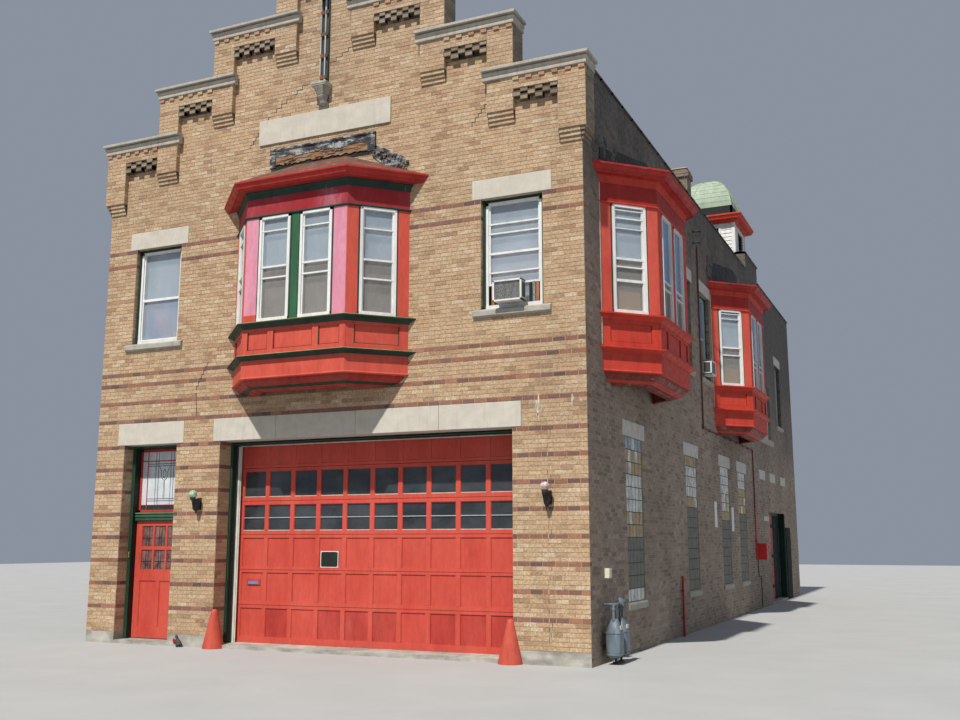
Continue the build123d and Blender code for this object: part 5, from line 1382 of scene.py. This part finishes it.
def globe_glass(name, dark, light):
    return plain_finish(name, (18, 4), ((0.35, dark), (0.65, light)), ((30, 2), (0.3, 0.1), (0.7, 0.28)),
                        ((45, 2), 0.2, 0.003))


def ball(radius, middle, angles):
    """The profile of a ball on its axis."""
    return [(radius * math.sin(math.radians(a)), middle - radius * math.cos(math.radians(a))) for a in angles]


lamps = start_work()
low = 2.3
for slot, x in ((1, -2.36), (2, 4.18)):
    turned(lamps, (x, front - 0.095, low), [(0.006, -0.035), (0.022, -0.02), (0.014, 0), (0.036, 0.02), (0.056, 0.1),
           (0.07, 0.18), (0.078, 0.205), (0.078, 0.215), (0.062, 0.22)], 0, 16)
    for k in range(8):
        c, s = math.cos(2 * math.pi * k / 8), math.sin(2 * math.pi * k / 8)
        strip(lamps, at_front(x, -0.095), [(0.036 * c, low + 0.03), (0.076 * c, low + 0.19)], 0.003,
              (0.036 * s - 0.002, 0.068 * s + 0.004), 0)
    turned(lamps, (x, front - 0.19, low + 0.165), [(0.008, 0), (0.018, 0.008), (0.03, 0.03), (0.046, 0.04),
           (0.05, 0.075), (0.054, 0.078), (0.05, 0.084)], 0, 18)
    loft(lamps, [[(x + s, front - out, low + up) for s, up in ((-half, a), (half, a), (half, b), (-half, b))]
                 for half, out, a, b in ((0.014, 0.075, 0.15, 0.19), (0.01, 0.185, 0.175, 0.2))])
    slab(lamps, at_front(x), 0.045, (0.004, 0.018), (low + 0.03, low + 0.24))
    slab(lamps, at_front(x), 0.03, (0.016, 0.06), (low + 0.08, low + 0.2))
    globe = [(0.016, 0.002)] + ball(0.072, 0.072, range(18, 180, 12)) + [(0.008, 0.1435)]
    turned(lamps, (x, front - 0.19, low + 0.22), globe, slot, 24)
globe_green = globe_glass("globe_green", (0.18, 0.34, 0.2), (0.44, 0.64, 0.42))
globe_pink = globe_glass("globe_pink", (0.3, 0.17, 0.15), (0.72, 0.62, 0.6))
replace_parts(settle(lamps, "lamp_brackets", [iron, globe_green, globe_pink], smooth=True), "wall_lamps")

# Jamb guards. Hollow cast iron cones bedded in the ground at both sides of the street door to fend off
# wheels. They are painted red, scraped bare near the foot, and wear rust at the rim.
guard_paint = old_paint(
    "guard_paint", (0.36, 0.056, 0.036), (0.5, 0.085, 0.056), (0.46, 0.072, 0.048), bare=(0.3, 0.14, 0.09),
    patches=0.66, dirt=0.75)
guards = start_work()
for x, foot in ((garage_opening[0] + 0.045, 0.186), (garage_opening[1] - 0.045, 0.194)):
    turned(guards, (x, front - 0.005, 0), [(foot, 0), (foot - 0.004, 0.03), (0.058, 0.59), (0.052, 0.62),
           (0.038, 0.64), (0.012, 0.65)], 0, 36)
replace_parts(settle(guards, "cast_jamb_guards", [guard_paint], smooth=True), "jamb_guards")

# Flagpole and its step. A pair of iron channels runs up the gable from a pressed metal bracket like a scrolled
# corbel, to an iron shelf. On that the weathered pole stands clear of the coping, held by one strap.
weathered_sheet = old_paint(
    "weathered_sheet", (0.22, 0.2, 0.16), (0.34, 0.32, 0.27), (0.28, 0.255, 0.21), bare=(0.13, 0.115, 0.1),
    patches=0.6, dirt=0.6, gloss=0.65)
dark_sheet = old_paint(
    "dark_sheet_metal", (0.075, 0.07, 0.06), (0.13, 0.12, 0.1), (0.1, 0.09, 0.08), dirt=0.6, gloss=0.65)
channel_paint = old_paint(
    "channel_paint", (0.032, 0.036, 0.04), (0.066, 0.07, 0.075), (0.045, 0.05, 0.054), bare=(0.2, 0.075, 0.04),
    patches=0.68, dirt=0.7)
edge_light = old_paint("edge_light", (0.34, 0.33, 0.29), (0.48, 0.47, 0.42), (0.4, 0.39, 0.35), dirt=0.7)
rust = old_paint("rust", (0.13, 0.045, 0.02), (0.26, 0.1, 0.045), (0.18, 0.07, 0.03), gloss=0.85)
pole = start_work()
pole_y, pole_base, pole_top, shelf = front - 0.27, 9.8, 14.6, 11.72
slab(pole, street, 0.16, (0, 0.22), (9.762, 9.8))
slab(pole, street, 0.15, (0, 0.21), (9.735, 9.764))
cants = ((-1, 0), (-1, 0.62), (-0.62, 1), (0.62, 1), (1, 0.62), (1, 0))
bracket_size = 0.68
for levels in (((0.205, 0.295, 9.738), (0.204, 0.293, 9.712), (0.192, 0.28, 9.69), (0.168, 0.25, 9.65),
                (0.146, 0.225, 9.61), (0.138, 0.214, 9.59)),
               ((0.126, 0.2, 9.592), (0.132, 0.206, 9.576), (0.13, 0.198, 9.556), (0.112, 0.158, 9.52),
                (0.1, 0.124, 9.486), (0.106, 0.12, 9.466), (0.104, 0.104, 9.446), (0.086, 0.07, 9.42),
                (0.08, 0.05, 9.4))):
    loft(pole, [[(s * half * bracket_size, front - t * out * bracket_size, z) for s, t in cants]
                for half, out, z in levels], 1)
slab(pole, street, 0.096, (0, 0.03), (9.35, 9.6), 2)
slab(pole, street, 0.08, (0, 0.335), (shelf - 0.025, shelf), 3)
brace = ((0, -0.3), (0.03, -0.3), (0.32, -0.03), (0, -0.02))
for s in (-0.075, 0.063):
    loft(pole, [[(x, front - t, shelf + up) for t, up in brace] for x in (s, s + 0.012)], 3)
turned(pole, (0, pole_y, 0), [(0.055, shelf), (0.055, 12.6), (0.046, 14), (0.04, pole_top - 0.06),
       (0.062, pole_top - 0.055), (0.062, pole_top - 0.03), (0.03, pole_top - 0.02)], 4, 24)
finial = ball(0.09, pole_top, range(15, 180, 15))
turned(pole, (0, pole_y, 0), [(0.02, finial[0][1] - 0.002)] + finial + [(0.006, pole_top + 0.09)], 6, 24)
run = (pole_base, shelf - 0.025)
for low_s, high_s, edge_slot, tie_slot in ((-0.094, -0.002, 0, 7), (0, 0.088, 5, 3)):
    block(pole, street, (low_s, low_s + 0.026), (0, 0.052), run, edge_slot)
    block(pole, street, (low_s + 0.026, high_s), (0.004, 0.014), run, 3)
    block(pole, street, (high_s - 0.008, high_s), (0.004, 0.05), run, 3)
    for z in (9.95, 10.36, 10.78, 11.2):
        block(pole, street, (low_s + 0.01, high_s - 0.012), (0.012, 0.056), about(z, 0.035), tie_slot)
slab(pole, at_front(0, -0.27), 0.1, (-0.07, 0), about(bed(175) + coping_high / 2, 0.03), 7)
flagpole = settle(
    pole, "flagpole_set",
    [edge_light, weathered_sheet, dark_sheet, channel_paint, edge_light, edge_light, brass, rust],
    bevel=0.002, segments=1, smooth=True)
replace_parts(flagpole, "flagpole")

# Weathered board over the street bay. What is left of a painted sign board: black paint scaling off in grey
# curls, the bare wood below rotted orange, and a near-black strip under it that paints its shadow on the wall.
scales, rot = (0.8, 1, 1.6), (0.5, 1, 2.4)
scaled_black = plain_finish(
    "scaled_black", (6, 8, scales, 0.75), ((0.44, (0.022, 0.022, 0.026)), (0.52, (0.1, 0.1, 0.11)),
    (0.58, (0.4, 0.42, 0.43)), (0.66, (0.17, 0.16, 0.15))), 0.85, ((12, 8, scales, 0.75), 0.9, 0.012))
rotten_wood = plain_finish(
    "rotten_wood", (7, 8, rot, 0.7), ((0.36, (0.05, 0.03, 0.018)), (0.46, (0.2, 0.1, 0.045)),
    (0.55, (0.31, 0.18, 0.085)), (0.64, (0.24, 0.21, 0.17))), 0.92, ((14, 6, (0.4, 1, 3), 0.7), 0.9, 0.012))
tatters = random.Random(19)


def ragged_board(s, t, z, slot, wear=0.03, steps=26):
    """A board whose lower edge has rotted away."""
    lows = [z[0] + tatters.uniform(-wear, wear) for _ in range(steps + 1)]
    for k in range(steps):
        a, b = (s[0] + (s[1] - s[0]) * edge / steps for edge in (k, k + 1))
        corners = ((a, lows[k]), (b, lows[k + 1]), (b, z[1]), (a, z[1]))
        loft(board, [[street(along, depth, level) for along, level in corners] for depth in t], slot)


board = start_work()
ragged_board((-1.1, 1.08), (0.004, 0.034), (8.595, 8.735), 0)
block(board, street, (-1.1, 1.08), (0.004, 0.06), (8.725, 8.752))
for s in ((-1.1, -0.985), (0.93, 1.08)):
    ragged_board(s, (0.004, 0.046), (8.4, 8.73), 0, 0.015, 3)
ragged_board((-0.99, 0.94), (0.01, 0.026), (8.45, 8.62), 1, 0.022, 44)
for k in range(34):
    s, z = tatters.uniform(-0.97, 0.8), tatters.uniform(8.46, 8.6)
    end, out = s + tatters.uniform(0.05, 0.2), 0.03 + tatters.uniform(0, 0.012)
    block(board, street, (s, end), (0.024, out), (z, z + 0.018), tatters.choice((0, 1, 1)))
# A near-black strip on the wall under the board: painted shadow.
block(board, street, (-0.99, 0.94), (0.002, 0.009), (8.36, 8.5), 2)
outline = ((1.02, 8.3), (1.04, 8.5), (1.18, 8.47), (1.4, 8.33), (1.62, 8.22), (1.74, 8.06), (1.6, 8.02), (1.25, 8.12))
loft(board, [[street(s, t, z) for s, z in outline] for t in (0.002, 0.02)])
for k in range(46):
    s = tatters.uniform(1.02, 1.7)
    z = 8.47 - (s - 1.02) * 0.6 + tatters.uniform(-0.16, 0.03)
    wide, out = tatters.uniform(0.015, 0.05), 0.024 + tatters.uniform(0, 0.03)
    block(board, street, (s, s + wide), (0.016, out), (z, z + wide * 0.8), tatters.choice((0, 0, 1)))
settle(board, "sign_board_remains", [scaled_black, rotten_wood, jamb_black])

# Chimney. Common brick laid in running bond, with a corbelled band below the top course and a sloped cap of
# mortar.
chimney_low, chimney_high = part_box("chimney")
x0, x1, y0, y1 = chimney_low.x + 0.1, chimney_high.x - 0.12, chimney_low.y + 0.12, chimney_high.y - 0.08
shaft_foot, shaft_head = 131, 147
shaft_high = bed(shaft_head)


def shaft_ring(out, z):
    return [(x0 - out, y0 - out, z), (x1 + out, y0 - out, z), (x1 + out, y1 + out, z), (x0 - out, y1 + out, z)]


core = start_work()
loft(core, [shaft_ring(0, z) for z in (chimney_low.z, shaft_high)])
loft(core, [shaft_ring(0.02, shaft_high), shaft_ring(0.012, shaft_high + 0.02), shaft_ring(-0.1, shaft_high + 0.05)])
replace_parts(settle(core, "chimney_core", [buff_mortar]), "chimney")
chimney_bricks = []
shaft_faces = (("front", y0, x0, x1), ("rear", y1, x0, x1), ("right", x1, y0, y1), ("left", x0, y0, y1))
for facing, plane, start, end in shaft_faces:
    for course in range(shaft_foot, shaft_head):
        grown = 0.04 if shaft_head - 3 <= course < shaft_head - 1 else 0
        lay_wall(chimney_bricks, facing, plane + facings[facing][1] * grown, start - grown, end + grown,
                 (course, course + 1), band_courses=())
chimney_brick = fired_brick(
    "chimney_brick", (0.16, 0.115, 0.085), (0.24, 0.18, 0.135), (0.28, 0.22, 0.165), (0.2, 0.145, 0.105), soot=0.65)
brickwork("chimney_bricks", chimney_bricks, [chimney_brick])

# Roof cupola. A square ventilator: white lapped boards with a louvred opening on each face, a red bracketed
# cornice, a dark sheet base and a four sided dome of pale green sheet with standing seams.
white_board = old_paint("white_board", (0.56, 0.56, 0.54), (0.72, 0.72, 0.71), (0.66, 0.66, 0.64), dirt=0.8)
mint_sheet = old_paint(
    "mint_sheet_metal", (0.26, 0.34, 0.25), (0.35, 0.43, 0.33), (0.42, 0.48, 0.38), dirt=0.8, bare=(0.24, 0.3, 0.23),
    patches=0.68, gloss=0.6)
cupola_low, cupola_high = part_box("cupola")
centre = ((cupola_low.x + cupola_high.x) / 2, (cupola_low.y + cupola_high.y) / 2)
half, louvre = 0.87, 0.4
wall_foot, wall_top, cornice_top, dome_foot = 8.95, 11.22, 11.47, 11.79


def quarter_face(quarter):
    """The frame of one of the four faces: a along it, and out from the middle of the cupola."""
    c, s = ((1, 0), (0, 1), (-1, 0), (0, -1))[quarter]
    return lambda a, out, z: (centre[0] + a * c + out * s, centre[1] + a * s - out * c, z)


cupola_work = start_work()
cornice = ((-0.03, 0), (0.01, 0), (0.02, 0.03), (0.06, 0.045), (0.1, 0.05), (0.1, 0.08), (0.19, 0.09),
           (0.196, 0.12), (0.214, 0.15), (0.226, 0.18), (0.24, 0.186), (0.24, 0.235), (-0.03, 0.25))
slat = ((-0.085, 0.075), (-0.078, 0.082), (0, 0.008), (-0.004, 0))
for quarter in range(4):
    def place(a, t, z, on=quarter_face(quarter)):
        return on(a, half + t, z)
    z = wall_foot
    while z < wall_top - 0.01:
        top = min(z + 0.115, wall_top)
        board_section = ((-0.03, z), (0, z), (-0.014, top), (-0.03, top))
        beside = half - louvre - 0.06
        for stretch in ends(-half, half, beside) if 9.65 < z < 11.08 else ((-half, half),):
            loft(cupola_work, [[place(a, t, level) for t, level in board_section] for a in stretch])
        z = top
    for s in ((-half - 0.002, -half + 0.09), (half - 0.09, half + 0.002)):
        block(cupola_work, place, s, (-0.03, 0.01), (wall_foot, wall_top))
    for s in ends(-louvre - 0.06, louvre + 0.06, 0.06):
        block(cupola_work, place, s, (-0.03, 0.014), (9.66, 11.12))
    for z in ((9.62, 9.69), (11.08, 11.15)):
        slab(cupola_work, place, louvre + 0.07, (-0.03, 0.018), z)
    for k in range(15):
        loft(cupola_work, [[place(a, t, 9.7 + k * 0.092 + up) for t, up in slat] for a in (-louvre, louvre)], 3)
    loft(cupola_work, [[place(side * (half + t), t, wall_top + up) for t, up in cornice] for side in (-1, 1)], 1)
    slab(cupola_work, place, half - 0.06, (-0.12, -0.06), (cornice_top, dome_foot), 3)
# A near-black block fills the cupola's inside: painted shade seen through the louvres.
slab(cupola_work, quarter_face(2), half - 0.1, (-half + 0.1, half - 0.1), (wall_foot, 11.2), 3)
cupola_piece = settle(
    cupola_work, "cupola_boards", [white_board, side_red, sheet_grey, jamb_black], bevel=0.002,
    segments=1)
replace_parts(cupola_piece, "cupola")
dome_low, dome_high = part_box("cupola_dome")
dome_half, dome_rise, levels = (dome_high.x - dome_low.x) / 2 - 0.04, dome_high.z - dome_low.z - 0.07, 10
angles = [math.pi / 2 * k / levels for k in range(levels + 1)]
rows = [(max(dome_half * math.cos(a) ** 1.12, 0.012), dome_foot + dome_rise * math.sin(a)) for a in angles]
seam = ((-0.006, -0.01), (0.006, -0.01), (0.006, 0.01), (-0.006, 0.01))
dome = start_work()
for quarter in range(4):
    on = quarter_face(quarter)
    for (reach, z), (high_reach, high_z) in zip(rows, rows[1:]):
        lap, tip, inner = high_reach - 0.006, max(high_reach - 0.02, 0.004), max(high_reach - 0.04, 0)
        foot = reach - 0.02
        loft(dome, [[on(-reach, reach, z), on(reach, reach, z), on(lap, lap, high_z), on(-lap, lap, high_z)],
                    [on(-foot, foot - 0.02, z), on(foot, foot - 0.02, z), on(tip, inner, high_z - 0.002),
                     on(-tip, inner, high_z - 0.002)]])
        for share in (-0.48, 0.48):
            loft(dome, [[on(share * r + a, r + out, level) for a, out in seam]
                        for r, level in ((reach, z), (high_reach, high_z))])
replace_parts(settle(dome, "cupola_dome_sheets", [mint_sheet]), "cupola_dome")

# Gas meters. Two galvanised diaphragm meters on a pipe stand by the corner, with a header pipe, unions, a
# regulator with its round spring case, and a strap to the wall.
zinc = old_paint(
    "zinc", (0.06, 0.083, 0.102), (0.165, 0.208, 0.243), (0.1, 0.13, 0.155), (0.42, 0.47, 0.5), dirt=0.5, gloss=0.3)
dial_white = old_paint("dial_white", (0.5, 0.5, 0.48), (0.66, 0.66, 0.64), (0.6, 0.6, 0.58))
meters = start_work()
stand_out, stand_along, header_z = 0.19, 0.7, 0.86
meter_x, meter_y = right + stand_out, front + stand_along


def rounded(y, half_x, half_y, z, round_by):
    """A case's outline at one height."""
    ring = []
    for sx, sy, start in ((1, 1, 0), (-1, 1, 90), (-1, -1, 180), (1, -1, 270)):
        for angle in (math.radians(start + step * 22.5) for step in range(5)):
            ring.append((meter_x + sx * (half_x - round_by) + round_by * math.cos(angle),
                         y + sy * (half_y - round_by) + round_by * math.sin(angle), z))
    return ring


case = ((0.07, 0.085, 0.1, 0.05), (0.105, 0.125, 0.135, 0.06), (0.112, 0.135, 0.18, 0.06), (0.112, 0.138, 0.42, 0.06),
        (0.106, 0.128, 0.48, 0.06), (0.088, 0.104, 0.545, 0.05), (0.066, 0.076, 0.6, 0.045), (0.05, 0.058, 0.645, 0.03),
        (0.03, 0.036, 0.655, 0.02))
flange = ((-0.004, -0.01), (0, -0.008), (0, 0.008), (-0.004, 0.01))
union = [(0.026, 0), (0.026, 0.05), (0.03, 0.052), (0.03, 0.085), (0.018, 0.088), (0.018, 0.2), (0.026, 0.202),
         (0.026, 0.24), (0.018, 0.242), (0.018, 0.28)]
for offset in (-0.165, 0.165):
    y = meter_y + offset
    loft(meters, [rounded(y, *level) for level in case])
    for z in (0.15, 0.455):
        loft(meters, [rounded(y, 0.114 + d, 0.14 + d, z + dz, 0.061) for d, dz in flange])
    for side in (-1, 1):
        for k in range(5):
            turned(meters, (meter_x + side * 0.096, y - 0.09 + k * 0.045, 0.452),
                   [(0.007, 0), (0.007, 0.012), (0.004, 0.014)], 0, 6, (side, 0, 0))
    slab(meters, at_right(stand_along + offset, -stand_out), 0.045, (0.09, 0.1045), (0.5, 0.56), 1)
    for pipe in (-0.048, 0.048):
        turned(meters, (meter_x, y + pipe, 0.58), union, 0, 16)
header_run = [(0.006, 0), (0.022, 0.004), (0.022, 0.386), (0.006, 0.39)]
sleeve = [(0.02, 0), (0.0225, 0.004), (0.0225, 0.04), (0.02, 0.044)]
regulator = [(0.02, 0), (0.026, 0.02), (0.085, 0.035), (0.088, 0.045), (0.088, 0.06), (0.06, 0.075), (0.036, 0.085),
             (0.036, 0.11), (0.01, 0.115)]
turned(meters, (meter_x, meter_y - 0.195, header_z), header_run, 0, 16, (0, 1, 0))
for y in (-0.19, -0.09, 0.09, 0.19):
    turned(meters, (meter_x, meter_y + y - 0.022, header_z), sleeve, 0, 16, (0, 1, 0))
turned(meters, (meter_x, meter_y + 0.1, header_z), regulator, 0, 24, (0.75, 0, 0.35))
turned(meters, (right + 0.006, meter_y - 0.1, header_z), [(0.03, 0), (0.03, 0.006), (0.017, 0.008), (0.017, 0.185)],
       0, 14, (1, 0, 0))
slab(meters, at_right(stand_along, -stand_out), 0.17, (-0.04, 0.04), (0, 0.035), 2)
for y in (-0.135, 0.135):
    turned(meters, (meter_x, meter_y + y, 0.03), [(0.045, 0), (0.018, 0.01), (0.018, 0.08)], 2, 14)
    slab(meters, at_right(stand_along + y), 0.016, (0.006, 0.095), (0.452, 0.472), 2)
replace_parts(settle(meters, "gas_meter_set", [zinc, dial_white, iron], smooth=True), "gas_meters")

# Alarm box and conduit. A red steel cabinet for the alarm bell, with a louvred door, fed by a painted conduit
# that drops from the wall beside the rear bay: dark above, and red where it was painted with the box.
alarm_red = old_paint("alarm_red", (0.44, 0.02, 0.018), (0.58, 0.036, 0.03), (0.5, 0.028, 0.024), dirt=0.8, gloss=0.35)
conduit_dark = old_paint("conduit_dark", (0.07, 0.03, 0.026), (0.12, 0.045, 0.038), (0.09, 0.04, 0.034), dirt=0.7)
alarm = start_work()
at_box = at_right(14.35)
slab(alarm, at_box, 0.168, (0.008, 0.262), (1.304, 1.736))
slab(alarm, at_box, 0.15, (0.26, 0.272), (1.32, 1.72))
for z in (1.4 + 0.035 * k for k in range(6)):
    slab(alarm, at_box, 0.09, (0.27, 0.279), (z, z + 0.012))
block(alarm, at_box, (0.1, 0.125), (0.27, 0.28), (1.6, 1.64), 2)
block(alarm, at_box, (-0.169, -0.165), (0.02, 0.25), (1.31, 1.73))
drop, rise, run_z, upwards, along = 14.1, 7.96, 4.24, (0, 0, 1), (0, 1, 0)
for distance, z, axis, long, slot in ((drop, 1.34, upwards, 1.36, 0), (drop, 2.7, upwards, 1.5, 1),
                                      (rise + 0.04, run_z, along, 6.06, 1), (rise, 4.28, upwards, 4.08, 1),
                                      (drop, 1.342, along, 0.09, 0)):
    turned(alarm, at_right(distance)(0, 0.028, z), [(0.016, 0), (0.016, long)], slot, 12, axis)
coupling = [(0.018, 0), (0.022, 0.004), (0.022, 0.05), (0.018, 0.055)]
couplings = ((drop, 4.185, upwards), (drop - 0.055, run_z, along), (rise, 4.225, upwards), (drop, 2.68, upwards))
for distance, z, axis in couplings:
    turned(alarm, at_right(distance)(0, 0.028, z), coupling, 1, 14, axis)
for distance, levels in ((drop, (1.8, 2.6, 3.4)), (rise, (4.9, 5.7, 6.5, 7.3, 8.1))):
    for z in levels:
        slab(alarm, at_right(distance), 0.03, (0.006, 0.046), (z, z + 0.02), 1)
for k in range(7):
    slab(alarm, at_right(8.6 + 0.8 * k), 0.01, (0.006, 0.046), about(run_z, 0.03), 1)
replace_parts(settle(alarm, "alarm_cabinet", [alarm_red, conduit_dark, iron], smooth=True), "alarm_box")

# Small fittings on the side wall: a white junction box, a painted iron stand pipe, two bare enamel strips, two
# wire hooks, a stopcock at the pier's foot, and thin conduit that leaves the alarm cabinet for the ground.
small = start_work()
slab(small, at_right(0.735), 0.07, (0.004, 0.075), (1.24, 1.385))
slab(small, at_right(0.735), 0.062, (0.073, 0.082), (1.25, 1.375))
turned(small, at_right(5.5)(0, 0.045, 0), [(0.04, 0), (0.03, 0.012), (0.021, 0.03), (0.021, 1.1), (0.026, 1.102),
       (0.024, 1.13)], 1, 16)
for z in (0.35, 0.85):
    slab(small, at_right(5.5), 0.034, (0.004, 0.07), about(z, 0.012), 1)
for distance, low in ((9.02, 2.1), (11, 2.03)):
    slab(small, at_right(distance), 0.13, (0.004, 0.012), (low, low + 0.575), 2)
    slab(small, at_right(distance), 0.11, (0.004, 0.014), (low + 0.02, low + 0.555), 2)
hook = [(0.045, 0), (0.045, 0.012), (0.016, 0.016), (0.016, 0.12), (0.03, 0.13), (0.03, 0.17), (0.01, 0.18)]
for distance, z in ((7.73, 8.65), (7.69, 8.38)):
    turned(small, at_right(distance)(0, 0, z), hook, 3, 12, (1, 0, 0))
for distance, z, axis, long in ((14.3, 0.86, upwards, 0.46), (14.3, 0.86, along, 0.4), (14.7, 0.03, upwards, 0.84)):
    turned(small, at_right(distance)(0, 0.018, z), [(0.01, 0), (0.01, long)], 3, 10, axis)
turned(small, (-2.6, front - 0.075, 0.024), [(0.058, 0), (0.05, 0.05), (0.026, 0.12), (0.022, 0.175), (0.008, 0.19)],
       3, 14, (-0.42, 0, 1))
turned(small, (-2.655, front - 0.1, 0.055), [(0.02, 0), (0.028, 0.03), (0.022, 0.08), (0.008, 0.1)],
       1, 12, (-0.42, -0.3, 1))
cream = old_paint("cream_enamel", (0.58, 0.54, 0.44), (0.7, 0.66, 0.56), (0.62, 0.58, 0.47), gloss=0.35)
settle(small, "small_wall_fittings", [cream, shade_red, plate_white, iron], bevel=0.002, segments=1)

# Flashing and tar over the side bays. Dark sheet is dressed up the wall behind each cornice, and lumps of roofing
# tar were daubed where the roof meets the brick. A bead of white putty seals each bay's near side.
flashing = start_work()
turns = [a / 9 * 2 * math.pi for a in range(9)]
for over, start in ((near_bay, -0.9), (far_bay, -1.62)):
    outline = ((-1.76, 7.96), (-1.72, 8.2), (start + 0.02, 8.34), (start + 0.08, 8.42), (1.2, 8.88), (1.78, 8.84),
               (1.82, 8.06))
    loft(flashing, [[over(s, t, z) for s, z in outline] for t in (0.002, 0.022)])
    for k in range(26):
        s, z = tatters.uniform(-2.05, start + 0.1), tatters.uniform(7.9, 8.42)
        wide, tall = tatters.uniform(0.03, 0.11), tatters.uniform(0.05, 0.14)
        loft(flashing, [[over(s + wide * share * math.cos(a) * tatters.uniform(0.7, 1.1), out,
                              z + tall * share * math.sin(a) * tatters.uniform(0.7, 1.1)) for a in turns]
                        for share, out in ((1, 0), (0.8, 0.02), (0.4, 0.04), (0.1, 0.045))], 1)
    block(flashing, over, (-1.785, -1.765), (0.004, 0.016), (4.86, 7.55), 2)
settle(flashing, "side_bay_flashing", [sheet_grey, tar, strip_white], smooth=True)

# Roof deck. A flat timber deck behind the parapets, laid with felt and hot tar, with pea gravel rolled into
# the last coat. The tar shows through where the rain has washed the gravel away.
gravel, tree, shader = new_material("tar_and_gravel")
stones_seen = ramp(tree, grain(tree, 60, 4), (0.4, (0.045, 0.043, 0.04)), (0.55, (0.16, 0.15, 0.14)),
                   (0.68, (0.3, 0.285, 0.26)))
tar_cover = ramp(tree, grain(tree, 0.9, 5), (0.4, 0), (0.62, 0.75))
tree.links.new(mix(tree, tar_cover, stones_seen, (0.04, 0.038, 0.036)), shader.inputs["Base Color"])
shader.inputs["Roughness"].default_value = 0.95
relief(tree, shader, grain(tree, 60, 4), 0.8, 0.01)
paint_node("roof_deck", gravel)
